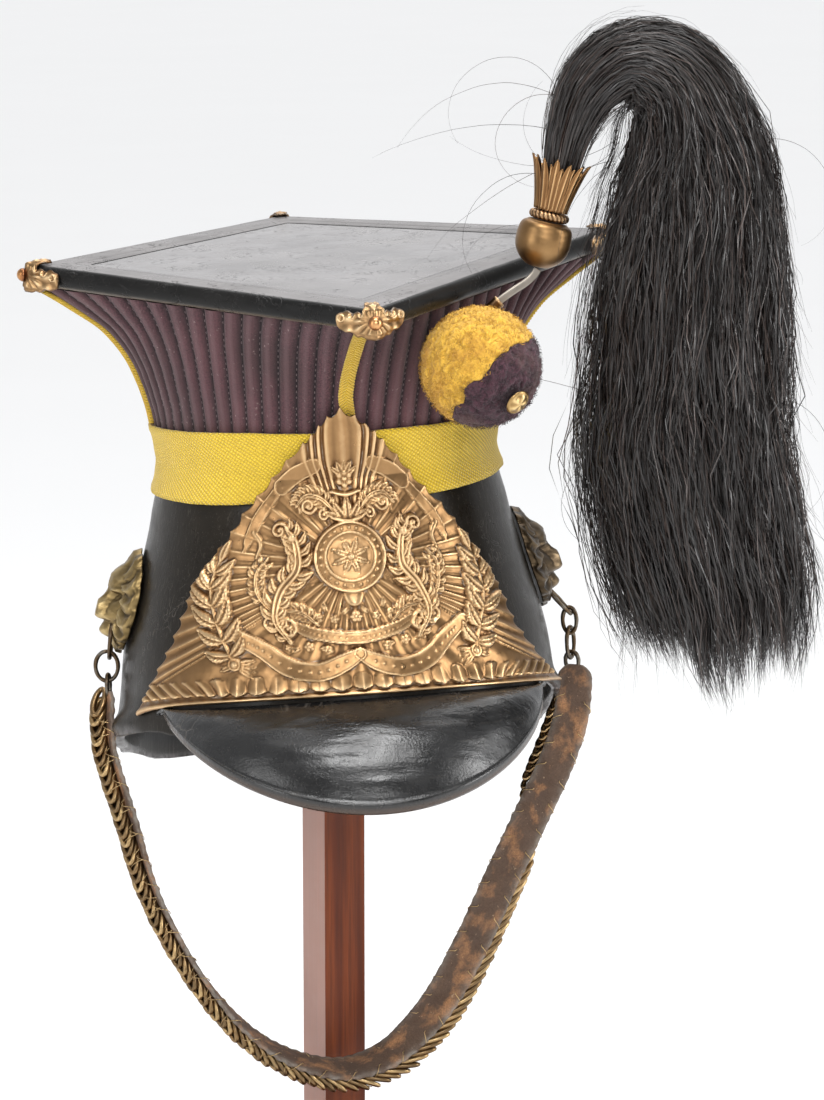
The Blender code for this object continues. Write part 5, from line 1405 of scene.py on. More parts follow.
# Cheek, brow, eye hollow, eye, muzzle, ear and its hollow: height, place out and up, half width and half height
LION_FEATURES = (
    (1.6, 0.34, -0.08, 0.16, 0.20), (2.0, 0.24, 0.26, 0.15, 0.06), (-3.0, 0.22, 0.12, 0.10, 0.07),
    (1.7, 0.22, 0.11, 0.055, 0.040), (2.6, 0.15, -0.26, 0.14, 0.11), (2.4, 0.47, 0.46, 0.11, 0.12),
    (-2.0, 0.46, 0.45, 0.05, 0.06))


def lion_height(x, y):
    """Lion's mask over a unit disc in millimetres, up is +y: brow, nose, muzzle, cheeks and mane."""
    r = np.hypot(x, y)
    face = curve(LION_PROFILE, y) * np.exp(-(np.abs(x) / curve(LION_WIDTH, y)) ** 2.4)
    cheeks = 6.4 * hill(x, y, 0, 0.02, 0.50, 0.62, 2.8)
    for side in (-1, 1):
        for high, out, up, wide, tall in LION_FEATURES:
            cheeks = cheeks + high * hill(x, y, side * out, up, wide, tall)
    face = np.maximum(face, cheeks) + 0.25 * np.minimum(face, cheeks)
    face = face - 1.2 * hill(x, y, 0, 0.38, 0.035, 0.14)
    sweep = np.arctan2(x, y) * 7.0 + 1.5 * np.sin(r * 6.0) * np.tanh(x * 6)
    locks = np.abs(np.cos(sweep)) ** 0.8
    fine = 0.5 + 0.5 * np.cos(sweep * 5.0 + r * 6)
    mane = (2.6 + 2.6 * locks + 0.7 * fine) * ease(0.34, 0.60, r) * (1.12 - 0.75 * r ** 3)
    face = face * ease(0.98, 0.60, r)
    return np.maximum(face, mane) + 0.15 * np.minimum(face, mane)


def boss_point(side, across, up, lift):
    height = BOSS_HEIGHTS[side] + up
    angle = BOSS_ANGLE - np.degrees(across / skull_axes(height)[1])
    return skull_point(side * angle, height, BOSS_EASE + lift)


def build_boss(side, name):
    r, a = grid_of(np.concatenate([[0.0], np.linspace(0.02, 1.0, 56)]), full_turn(160))
    locks = np.abs(np.cos(a * 7.0)) ** 0.8
    edge = 0.94 + 0.055 * locks + 0.06 * bell(np.sin((a + np.pi) / 2), 0, 0.10)
    x, y = r * edge * np.sin(a), r * edge * np.cos(a)
    high = lion_height(x, y)
    high = high + 0.25 * rough_noise(joined(x, y, 0.0), 0.12, 81)
    across, up = x * BOSS_RADIUS * 0.93, y * BOSS_RADIUS
    lift = np.minimum(0.0008 + 0.00098 * np.clip(high, 0, 14), BOSS_PROUD + 0.0006)
    lift = mix(lift, 0.0008, ease(0.965, 1.0, r))
    front = boss_point(side, across, up, lift)
    back = boss_point(side, across[::-8], up[::-8], 0.0002)
    # Marks from how far the mask stands above its surroundings, for the painted shade in its hollows and painted
    # highlight on its raised parts.
    stands = local_relief(np.concatenate([high[:, -6:], high, high[:, :6]], 1), 5)[:, 6:-6]
    marks = np.concatenate([clamp(0.38 + 0.30 * stands + 0.02 * high), 0 * across[::-8]])
    Form().grid(np.concatenate([front, back]), True, marks=marks).make(
        "lion_head_" + name, old_metal("lion_brass_" + name), ("lion_boss_" + name,))


def link_points(half_height, half_width):
    """Oval link of round wire, a little worn."""
    turn = full_turn(56)
    centre = joined(half_width * np.cos(turn), 0.0, half_height * np.sin(turn))
    out = unit(joined(half_height * np.cos(turn), 0.0, half_width * np.sin(turn)))
    worn = WIRE * (1 + 0.05 * np.sin(3 * turn) + 0.04 * np.cos(7 * turn))
    return ring_of(centre, out, np.broadcast_to([0.0, 1.0, 0.0], out.shape), worn, 14)


def hung(place, turn, lean=0.0):
    tilted = Matrix.Rotation(math.radians(-lean), 4, "Y") @ Matrix.Rotation(math.radians(turn), 4, "Z")
    return Matrix.Translation(place) @ tilted


def ring_row(mouth_name, half, place, lean, links, skin):
    """Mouth ring and the links that hang in turn below it."""
    high, wide = half
    place = Vector(place)
    Form().grid(placed(hung(place, 82.0, lean), link_points(high, wide)), True, True).make(
        mouth_name + "_wire", skin, (mouth_name,))
    swing = math.radians(lean)
    place = place + Vector((high * math.sin(swing), 0.0, high - high * math.cos(swing)))
    for name, (high_next, wide), turn, out in links:
        place = place + Vector((out, 0.0, 2 * WIRE + LINK_EASE - high - high_next))
        high = high_next
        Form().grid(placed(hung(place, turn), link_points(high, wide)), True, True).make(
            name + "_wire", skin, (name,))


def build_rings():
    skin = old_metal("ring_brass")
    ring_row("mouth_ring_left", (0.0077, 0.0068), (-0.0897, 0.0030, 0.0081), -8.0, (
        ("round_ring_left", (0.0060, 0.0045), 0, -0.0013), ("end_link_left", (0.0046, 0.0030), 75, 0.0002)), skin)
    ring_row("mouth_ring_right", (0.0067, 0.0034), (0.0922, 0.0030, 0.0103), 40.0, (
        ("small_link_right", (0.0054, 0.0028), -15, -0.0006), ("oval_ring_right", (0.0064, 0.0034), 55, 0.0),
        ("end_hook_right", (0.0040, 0.0028), -30, 0.0004)), skin)


# Chin strap

STRAP_WIDTH = 0.0143
STRAP_THICKNESS = 0.0020
# Points of the strap's middle line, and its twist in degrees
STRAP_ROUTE = (
    (-0.0920, 0.0028, -0.0133, 13), (-0.0932, -0.0010, -0.0260, 13), (-0.0922, -0.0045, -0.0390, 13),
    (-0.0862, -0.0100, -0.0635, 13), (-0.0804, -0.0140, -0.0880, 9), (-0.0706, -0.0175, -0.1125, 7),
    (-0.0562, -0.0210, -0.1375, 2), (-0.0415, -0.0230, -0.1545, -5), (-0.0250, -0.0245, -0.1650, -12),
    (-0.0080, -0.0250, -0.1695, -20), (0.0085, -0.0245, -0.1660, -32), (0.0215, -0.0235, -0.1570, -46),
    (0.0345, -0.0215, -0.1430, -60), (0.0480, -0.0185, -0.1220, -70), (0.0610, -0.0150, -0.0985, -76),
    (0.0735, -0.0135, -0.0755, -80), (0.0855, -0.0120, -0.0530, -82), (0.0935, -0.0065, -0.0350, -82),
    (0.0976, 0.0022, -0.0162, -80))
# Sideways step of the chain on the leather: share of its run, step
CHAIN_DRIFT = (
    (0.0, 0.0010), (0.10, 0.0020), (0.30, 0.0018), (0.38, 0.0), (0.46, -0.0036), (0.60, -0.0066),
    (0.76, -0.0062), (0.83, 0.0), (0.89, 0.0068), (0.95, 0.0066), (1.0, 0.0010))
CHAIN_STEP = 0.0001


def strap_frames(pitch):
    """Position, across, outward and onward direction along the strap, at an even pitch."""
    rows = even_route(STRAP_ROUTE, pitch)
    along = tangents(rows[:, :3])
    plane_out = unit(np.cross(along, (0.0, -1.0, 0.0)))
    front = np.cross(plane_out, along)
    twist = np.radians(rows[:, 3])[:, None]
    outward = unit(plane_out * np.cos(twist) + front * np.sin(twist))
    return rows[:, :3], unit(np.cross(along, outward)), outward, along


def build_strap():
    here, across, outward, _ = strap_frames(0.0011)
    count = len(here)
    ends = np.minimum(np.arange(count), count - 1 - np.arange(count)) * 1.1
    half = STRAP_WIDTH / 2 * np.sqrt(clamp(1 - (1 - clamp(ends / 6.5)) ** 2 * 0.82))
    rng = np.random.default_rng(17)
    uu, index = np.meshgrid(np.linspace(-1, 1, 11), np.arange(count))
    run = index * 1.1
    ripple = np.sin(2 * np.pi * run / 4.6)
    crimp = 0.00030 * ripple * np.abs(uu) ** 4
    buckle = 0.00035 * noise(joined(run / 12, uu * 0.7, 0.0), 1.0, 19) * (1 - 0.4 * np.abs(uu))
    width = half[:, None] * (1 + 0.020 * ripple * (np.abs(uu) > 0.9))
    fray = 1 + rng.normal(0, 0.008, uu.shape) * (np.abs(uu) > 0.98)
    rounded = 1 - 0.45 * np.abs(uu) ** 6
    outer, inner = (here[:, None] + across[:, None] * (uu * width * fray)[..., None]
                    + outward[:, None] * (crimp + buckle + hand * STRAP_THICKNESS / 2 * rounded)[..., None]
                    for hand in (1, -1))
    maps = joined(np.concatenate([run, run], 1), np.concatenate([uu * 7, uu[:, ::-1] * 7], 1))
    marks = np.concatenate([np.abs(uu) ** 5, np.abs(uu[:, ::-1]) ** 5], 1)
    s = Skin("strap_old_leather", 0.85)
    fibre = s.noise(1500.0, 4.0)
    crosswise = s.noise(1.0, 3.0, s.scaled(s.map, (0.085, 0.13, 1.0)), 0.3)
    rub = s.math("MULTIPLY", s.ramp(crosswise, rise(0.50, 0.68)), s.ramp(fibre, [(0.30, 0.35), (0.62, 1.0)]))
    tone = s.blend(fibre, (0.034, 0.018, 0.011), (0.150, 0.088, 0.054))
    tone = s.blend(s.ramp(s.noise(70.0, 4.0), rise(0.35, 0.7, 0.6)), tone, (0.050, 0.028, 0.018))
    tone = s.blend(s.math("MULTIPLY", rub, 0.88), tone, (0.38, 0.180, 0.074))
    tone = s.blend(s.ramp(s.noise(650.0, 3.0), rise(0.66, 0.72, 0.55)), tone, (0.40, 0.28, 0.17))
    tone = s.blend(s.math("MULTIPLY", s.mark, s.ramp(s.noise(240.0), [(0.35, 0.1), (0.6, 0.8)])), tone,
                   (0.22, 0.195, 0.165))
    s.colour(tone).rough(s.ramp(s.noise(200.0), [(0.2, 0.70), (0.8, 0.95)]))
    s.bump(fibre, 0.00030, 0.9).bump(crosswise, 0.0012, 0.5).bump(s.cells(520.0), 0.0002, 0.5)
    Form().tube(np.concatenate([outer, inner[:, ::-1]], 1), maps, marks).make(
        "strap_leather_band", s, ("strap_leather",))


def wire_along(form, line, aside, radius):
    """Thin four-sided wire along a line."""
    way = tangents(line)
    first = unit(np.cross(way, aside))
    form.tube(ring_of(line, first, np.cross(way, first), radius, 4), marks=np.full((len(line), 4), 0.9))


def build_lacing(frames, total, skin):
    """Wires that tie the chain to both edges of the leather, and wires that cross over it."""
    form = Form()
    rng = np.random.default_rng(47)
    turn = np.linspace(-0.55, 1.12, 12) * math.pi
    reach = STRAP_WIDTH / 2 - 0.0032 + 0.0036 * np.sin(np.clip(turn, -0.3, math.pi))
    high = 0.0003 + (0.0018 + 0.0012 * (np.cos(turn) > 0)) * np.cos(turn)
    for run in np.arange(0.014, total - 0.02, 0.0105):
        for hand in (-1, 1):
            here, side, out, run_way = (part[int((run + (0.003 if hand > 0 else 0.0)) / CHAIN_STEP)]
                                        for part in frames)
            slant = rng.uniform(0.0035, 0.0060)
            line = (here + side * hand * reach[:, None] + out * high[:, None]
                    + run_way * (slant * turn / math.pi)[:, None])
            wire_along(form, line, run_way + 0.2 * out, 0.00018)
    share = np.linspace(-1, 1, 13)
    over = np.sqrt(clamp(1 - share ** 2))
    for number, run in enumerate(np.arange(0.010, total - 0.016, 0.0102)):
        here, side, out, run_way = (part[int(run / CHAIN_STEP)] for part in frames)
        way = 1 if number % 7 else -1
        line = (here + side * (share * 0.0066 + float(curve(CHAIN_DRIFT, run / total)) * over)[:, None]
                + out * (STRAP_THICKNESS / 2 + 0.0002 + 0.0045 * over)[:, None]
                + run_way * (way * share * 0.0030)[:, None])
        wire_along(form, line, run_way + 0.2 * out, 0.00020)
    form.make("strap_lacing_wire", skin, (), "strap_chain")


def build_chain():
    """Curb chain of round links laid over the outer face of the strap, and its lacing."""
    frames = strap_frames(CHAIN_STEP)
    total = len(frames[0]) * CHAIN_STEP
    form = Form()
    turn = full_turn(20)
    for k, run in enumerate(np.arange(0.0045, total - 0.0125, 0.0037)):
        here, side, out, run_way = (part[int(run / CHAIN_STEP)] for part in frames)
        full = 1.0 - 0.18 * ease(0.30, 0.55, run / total)
        lean, twist = math.radians(20 + 3 * math.sin(k * 1.7)), math.radians(34)
        slant = 0.42 + 0.05 * math.sin(k * 2.9)
        long_way = unit(run_way * math.cos(lean) + out * math.sin(lean) - side * slant)
        wide_way = unit(side * math.cos(twist) + out * math.sin(twist) - run_way * 0.25)
        wide_way = unit(wide_way - long_way * (wide_way @ long_way))
        middle = here + out * (STRAP_THICKNESS / 2 + 0.0025) + side * float(curve(CHAIN_DRIFT, run / total))
        wide, long, wire = 0.0023 * full, 0.0064, 0.00122 * full
        centre = middle + wide * np.cos(turn)[:, None] * wide_way + long * np.sin(turn)[:, None] * long_way
        normal = unit(np.cross(wide_way, long_way))
        radial = unit(np.cross(tangents(np.vstack([centre, centre[:1]]))[:-1], normal))
        thick = wire * (1 + 0.12 * np.cos(2 * turn))
        form.grid(ring_of(centre, radial, np.broadcast_to(normal, radial.shape), thick, 8), True, True,
                  marks=np.full((20, 8), 0.55 + 0.25 * math.sin(k * 2.4)))
    skin = old_metal("chain_brass")
    form.make("strap_curb_chain", skin, ("strap_chain",))
    build_lacing(frames, total, skin)


# Cockade

COCKADE_RADIUS = 0.0228
COCKADE_AT = (0.0504, -0.0848, 0.1208)
COCKADE_AXIS = (0.590, -0.471, -0.655)
COCKADE_SPLIT = 0.0074
BUTTON_RADIUS = 0.0050
BUTTON_DIRECTION = (0.444, -0.757, -0.481)
# Radius and height of the button's turned form, over its radius
BUTTON_PROFILE = (
    (0.0, 0.0), (0.5, 0.0), (0.88, 0.0), (1.0, 0.06), (1.0, 0.14), (0.86, 0.24), (0.80, 0.22), (0.72, 0.30),
    (0.52, 0.40), (0.28, 0.45), (0.02, 0.46))


def wool_edge(turn):
    """How far the border of the two wools wanders from the flat cut between them."""
    return 0.0019 * rough_noise(joined(np.cos(turn) * 3.2, np.sin(turn) * 3.2, 0.0), 1.0, 99, 2)


def button_hollow(way):
    """From 0 to 1 in the hollow that the button sits in, for directions from the cockade's middle."""
    away = np.linalg.norm(np.asarray(way) - unit(BUTTON_DIRECTION), axis=-1) * COCKADE_RADIUS
    return np.exp(-(away / 0.0078) ** 4)


def wool_ball(place, start, end, flat, seed):
    """Felted wool between two polar angles, closed by a flat disc, with curly tufts."""
    turn = full_turn(160)
    share, t = grid_of(np.linspace(0, 1, int(abs(end - start) * 0.62)), turn)
    p = mix(np.arccos((flat + wool_edge(turn)) / COCKADE_RADIUS)[None, :], math.radians(end), share)
    way = joined(np.sin(p) * np.cos(t), np.sin(p) * np.sin(t), np.cos(p))
    swirl = way * 8 + 0.9 * np.stack([noise(way, 0.16, seed + c) for c in (5, 6, 7)], -1)
    tufts = rough_noise(swirl, 1.0, seed + 1, 2)
    curls = np.abs(rough_noise(way, 0.075, seed + 3, 2))
    radius = COCKADE_RADIUS * (1 + 0.014 * noise(way, 0.7, seed + 2))
    radius = radius + 0.00060 * tufts - 0.00085 * (1 - curls) + 0.0002
    hollow = button_hollow(way @ np.array(place)[:3, :3].T)
    points = way * (radius - 0.0011 * hollow)[..., None]
    discs = [points[:1] * (part, part, 0) + np.array([0, 0, flat]) for part in (0.0, 0.35, 0.7, 0.95)]
    lit = clamp(0.15 + 0.8 * curls + 0.25 * tufts) * (1 - hollow)
    return placed(place, np.concatenate(discs + [points])), np.concatenate([np.zeros((4, len(turn))), lit])


def wool_skin(name, dark, light, stain):
    s = Skin(name, 0.95)
    curls = s.noise(520.0, 4.0, None, 1.6)
    tone = s.blend(s.ramp(curls, rise(0.30, 0.60)), dark, light)
    # Darker where the mark is low, between the curls and in the hollow round the button: painted shade.
    tone = s.blend(s.ramp(s.mark, [(0.02, 0.6), (0.42, 0.0)]), tone, tuple(0.6 * c for c in dark))
    tone = s.blend(s.ramp(s.noise(60.0, 5.0), rise(0.50, 0.66, 0.70)), tone, stain)
    s.colour(tone).bump(curls, 0.0006, 1.0).bump(s.noise(1500.0, 3.0), 0.00025, 0.8)
    return s.set(Sheen_Weight=0.12, Sheen_Roughness=0.5)


def build_fuzz(turned, skins):
    """Short curly fibres that stand out of the two wools."""
    rng = np.random.default_rng(23)
    fuzz = {part: Form() for part in skins}
    t = np.linspace(0, 1, 4)
    for way in unit(rng.normal(size=(5000, 3))):
        local = turned @ way
        border = COCKADE_SPLIT + wool_edge(np.array([math.atan2(local[1], local[0])]))[0]
        base = np.array(COCKADE_AT) + way * (COCKADE_RADIUS - 0.0006 - 0.0011 * button_hollow(way))
        swing = unit(np.cross(way, rng.normal(size=3)))
        other = np.cross(way, swing)
        reach, curl = rng.uniform(0.0008, 0.0017), rng.uniform(0.6, 2.4)
        line = (base + way * (reach * t)[:, None] + swing * (reach * 0.7 * np.sin(curl * t * 2))[:, None]
                + other * (reach * 0.5 * (1 - np.cos(curl * t * 2)))[:, None])
        side = unit(np.cross(way, swing + 0.3 * other)) * 0.00010
        fuzz["purple" if local[2] > border / COCKADE_RADIUS else "yellow"].grid(joined_sides(line, side))
    for part, form in fuzz.items():
        form.make("cockade_fuzz_" + part, skins[part], (), "cockade_" + part)


def build_button():
    """Domed button with a stamped flower and a rolled edge."""
    seat = facing(Vector(COCKADE_AT) + Vector(BUTTON_DIRECTION) * (COCKADE_RADIUS + 0.0006), BUTTON_DIRECTION)
    radius, level = np.array(BUTTON_PROFILE).T * BUTTON_RADIUS
    rings = lathe(radius + 1e-5, level, 40)
    stamp = np.cos(5 * full_turn(40)) * np.array((0, 0, 0, 0, 0, 0.2, 0.6, 1.0, 1.0, 0.6, 0.0))[:, None]
    rings[..., 2] += 0.00022 * stamp
    # Marks rise from the rolled edge to the dome's top and with the stamp: darker low, lighter high, as painted shade
    # and painted highlight.
    marks = clamp(np.linspace(0.2, 0.8, len(level))[:, None] + 0.30 * stamp)
    Form().tube(placed(seat, rings), marks=marks).make(
        "cockade_button_gilt", old_metal("button_gilt"), ("cockade_button",))


def build_cockade():
    place = facing(COCKADE_AT, COCKADE_AXIS)
    split = math.degrees(math.acos(COCKADE_SPLIT / COCKADE_RADIUS))
    skins = {
        "yellow": wool_skin("cockade_wool_yellow", (0.50, 0.26, 0.018), (0.72, 0.43, 0.055), (0.42, 0.19, 0.025)),
        "purple": wool_skin("cockade_wool_purple", (0.010, 0.003, 0.006), (0.070, 0.024, 0.036),
                            (0.090, 0.045, 0.040))}
    for part, end, flat, seed in (("yellow", 179.5, COCKADE_SPLIT, 91), ("purple", 0.5, COCKADE_SPLIT + 0.0003, 95)):
        rings, marks = wool_ball(place, split, end, flat, seed)
        Form().tube(rings, marks=marks).make("cockade_wool_part_" + part, skins[part], ("cockade_" + part,))
    build_fuzz(np.array(place)[:3, :3].T, skins)
    build_button()


# Plume holder

SOCKET_MOUTH = (0.0615, -0.0665, 0.1432)
SOCKET_FOOT = (0.0535, -0.0662, 0.1367)
STEM_ROUTE = (
    (0.0575, -0.0663, 0.13995), (0.0615, -0.0665, 0.1432), (0.0665, -0.0665, 0.1464),
    (0.0715, -0.0662, 0.1492), (0.0750, -0.0660, 0.1520), (0.0767, -0.0660, 0.1543))
HOLDER_AT = (0.0792, -0.0660, 0.1650)
HOLDER_LEAN = math.radians(16.0)
BALL_RADIUS = 0.0106
BALL_NECK = 0.72
# Radius and height of the ball's turned form, over its radius
BALL_PROFILE = (
    (0.0, -0.98), (0.30, -0.955), (0.52, -0.86), (0.72, -0.70), (0.88, -0.49), (0.96, -0.30), (1.0, -0.04),
    (1.0, 0.12), (0.985, 0.26), (0.97, 0.40), (0.93, 0.52), (0.86, 0.61), (0.76, 0.67), (0.66, BALL_NECK),
    (0.0, BALL_NECK))
LEAVES_PER_ROW = 13
COLLAR_RADIUS = 0.0078
COLLAR_WIRE = 0.0017
COLLAR_HEIGHT = BALL_RADIUS * BALL_NECK + COLLAR_WIRE + 0.0003


def build_socket(skin):
    foot, mouth = Vector(SOCKET_FOOT), Vector(SOCKET_MOUTH)
    length = (mouth - foot).length
    radius, level = np.array((
        (0.0001, 0.0), (0.0022, 0.0), (0.0024, 0.0003), (0.0024, length - 0.0012), (0.00255, length - 0.0008),
        (0.00255, length - 0.0002), (0.0023, length), (0.0018, length), (0.0018, length * 0.4),
        (0.0001, length * 0.4))).T
    # Marks light on the mouth's lip and dark down the bore: painted highlight and painted shade.
    marks = np.repeat([[0.2], [0.2], [0.3], [0.4], [1], [1], [1], [0.6], [0.1], [0.1]], 28, 1)
    Form().tube(placed(facing(foot, mouth - foot), lathe(radius, level, 28)), marks=marks).make(
        "plume_socket_tube", skin, ("plume_socket",))


def build_stem():
    """Flat bent steel with rounded edges."""
    line = smooth_route(STEM_ROUTE, 40)
    along = tangents(line)
    thick = np.broadcast_to([0.0, 1.0, 0.0], along.shape)
    side = unit(np.cross(along, thick))
    wide, deep = (np.sign(part) * np.abs(part) ** 0.5 for part in (np.cos(full_turn(16)), np.sin(full_turn(16))))
    rings = line[:, None] + side[:, None] * (wide * 0.0015)[:, None] + thick[:, None] * (deep * 0.0005)[:, None]
    Form().tube(rings, marks=np.full((40, 16), 0.5)).make("plume_stem_steel", old_metal("stem_steel"), ("plume_stem",))


def build_cup_leaves(lean):
    """Two rings of pointed leaves, each with a raised rib."""
    bottom = COLLAR_HEIGHT + COLLAR_WIRE + 0.0003
    form = Form()
    rng = np.random.default_rng(29)
    uu, vv = np.meshgrid(np.linspace(-1, 1, 9), np.linspace(0, 1, 18))
    half = mix(0.0014, 0.0020, np.sin(np.pi * clamp(vv * 0.85))) * clamp(1 - vv ** 5) ** 0.7
    rib = 0.00055 * bell(uu, 0, 0.20) + 0.00020 * np.cos(uu * 9) * (1 - vv)
    # Marks light on each leaf's rib and edges, and dark on its inner face: painted highlight and painted shade.
    ridge = clamp(0.25 + rib / 0.0008 + 0.3 * (np.abs(uu) > 0.85))
    for row, (size, shift) in enumerate(((1.0, 0.0), (0.88, 0.5))):
        for k in range(LEAVES_PER_ROW):
            radius = mix(0.0059 - 0.0005 * row, 0.0104 * size * rng.uniform(0.94, 1.06), vv ** 1.2)
            radius = radius + 0.0005 * vv ** 10
            angle = 2 * math.pi * (k + shift) / LEAVES_PER_ROW + uu * (half + 0.00006) / np.maximum(radius, 0.004)
            level = bottom + 0.0200 * size * rng.uniform(0.93, 1.0) * vv
            outer, inner = (joined(reach * np.cos(angle), reach * np.sin(angle), level)
                            for reach in (radius + rib, radius - 0.0004))
            form.tube(placed(lean, np.concatenate([outer, inner[:, ::-1]], 1)),
                      marks=np.concatenate([ridge, 0 * ridge], 1))
    form.make("plume_cup_leaves", old_metal("plume_leaf_brass"), ("plume_leaves",))


def build_holder():
    """Socket, stem, ball, rope collar and the cup of leaves, from the cockade up to the hair."""
    brass = old_metal("holder_brass")
    build_socket(brass)
    build_stem()
    lean = Matrix.Translation(HOLDER_AT) @ Matrix.Rotation(HOLDER_LEAN, 4, "Y")
    index = np.linspace(0, len(BALL_PROFILE) - 1, 60)
    table = [(i, r, z) for i, (r, z) in enumerate(BALL_PROFILE)]
    radius, level = curve(table, index, 1) * BALL_RADIUS, curve(table, index, 2) * BALL_RADIUS
    rings = lathe(np.maximum(radius, 1e-5), level, 56)
    rings = rings * (1 - 0.010 * clamp(noise(rings, 0.006, 61)))[..., None]
    Form().tube(placed(lean, rings), marks=0.55 + 0.15 * noise(rings, 0.004, 63)).make(
        "plume_ball_brass", old_metal("ball_brass"), ("plume_ball",))

    t, r = grid_of(full_turn(208), full_turn(12))
    strand = np.abs(np.cos((t * 13 + r * 1.0)))
    wire = COLLAR_WIRE * (0.80 + 0.22 * strand ** 0.6)
    out = COLLAR_RADIUS - COLLAR_WIRE + wire * np.cos(r)
    rope = joined(out * np.cos(t), out * np.sin(t), COLLAR_HEIGHT + wire * np.sin(r))
    # Marks follow the rope's strands: lighter on their crowns, darker in the grooves between them (painted highlight
    # and painted shade).
    Form().grid(placed(lean, rope), True, True, marks=strand).make("plume_collar_rope", brass, ("plume_collar",))
    build_cup_leaves(lean)


# Plume of horse hair

STRANDS = 5450
HAIR_POINTS = 32
LOCKS = 135
FLYAWAYS = 1150
LONG_CURLS = 22
HAIR_WIDTH = 0.0410
HAIR_TUCK = 0.0085
HAIR_TOP = 0.2590
HAIR_RIGHT = 0.1900
HAIR_FAR = 0.1940
HAIR_DEPTH = 0.0250
# Middle line of the hair, with its half width and half depth as shares of the largest ones
HAIR_ROUTE = (
    (0.0815, -0.0660, 0.1731, 0.100, 0.165), (0.0833, -0.0660, 0.1790, 0.13, 0.21),
    (0.0866, -0.0658, 0.1905, 0.19, 0.31),
    (0.0910, -0.0650, 0.2060, 0.24, 0.39), (0.0995, -0.0635, 0.2220, 0.31, 0.46),
    (0.1150, -0.0615, 0.2318, 0.35, 0.60), (0.1300, -0.0605, 0.2230, 0.51, 0.80),
    (0.1365, -0.0600, 0.2000, 0.71, 0.92), (0.1370, -0.0600, 0.1720, 0.91, 1.00),
    (0.1340, -0.0600, 0.1300, 1.02, 1.00), (0.1335, -0.0600, 0.0900, 1.03, 1.00),
    (0.1385, -0.0600, 0.0500, 1.00, 0.95), (0.1450, -0.0600, 0.0200, 0.95, 0.80))
# How far the locks hang past the last section, in half widths, round the section
LOCK_TIPS = (0.95, 0.88, 0.96, 0.86, 0.90, 0.76, 0.56, 0.40, 0.34, 0.40, 0.60, 0.78, 0.90, 0.82, 0.92,
             0.84)


def hair_frames(count):
    """Rows of the hair's middle line and its sideways direction."""
    rows = smooth_route(HAIR_ROUTE, count)
    return rows, unit(np.cross(tangents(rows[:, :3]), (0.0, 1.0, 0.0)))


def lock_fall(bearing):
    """How far the hair hangs past the last section, by its bearing in the section."""
    count = len(LOCK_TIPS)
    at = (np.asarray(bearing) / (2 * np.pi) * count) % count
    low = np.floor(at).astype(int) % count
    tips = np.array(LOCK_TIPS)
    return mix(tips[low], tips[(low + 1) % count], at - np.floor(at)) * HAIR_WIDTH


def hair_skin(name, tone):
    s = Skin(name, 0.34)
    streaks = s.noise(1.0, 4.0, s.scaled(s.where, (700.0, 700.0, 60.0)))
    base = s.blend(s.ramp(s.mark, [(0.0, 0.0), (0.76, 0.18), (1.0, 1.0)]),
                   (0.0036 * tone, 0.0030 * tone, 0.0029 * tone), (0.072 * tone, 0.050 * tone, 0.042 * tone))
    base = s.blend(s.ramp(streaks, rise(0.55, 0.8, 0.5)), base, (0.016 * tone, 0.012 * tone, 0.011 * tone))
    return s.colour(base).bump(streaks, 0.0002, 0.5).set(Specular_IOR_Level=0.60)


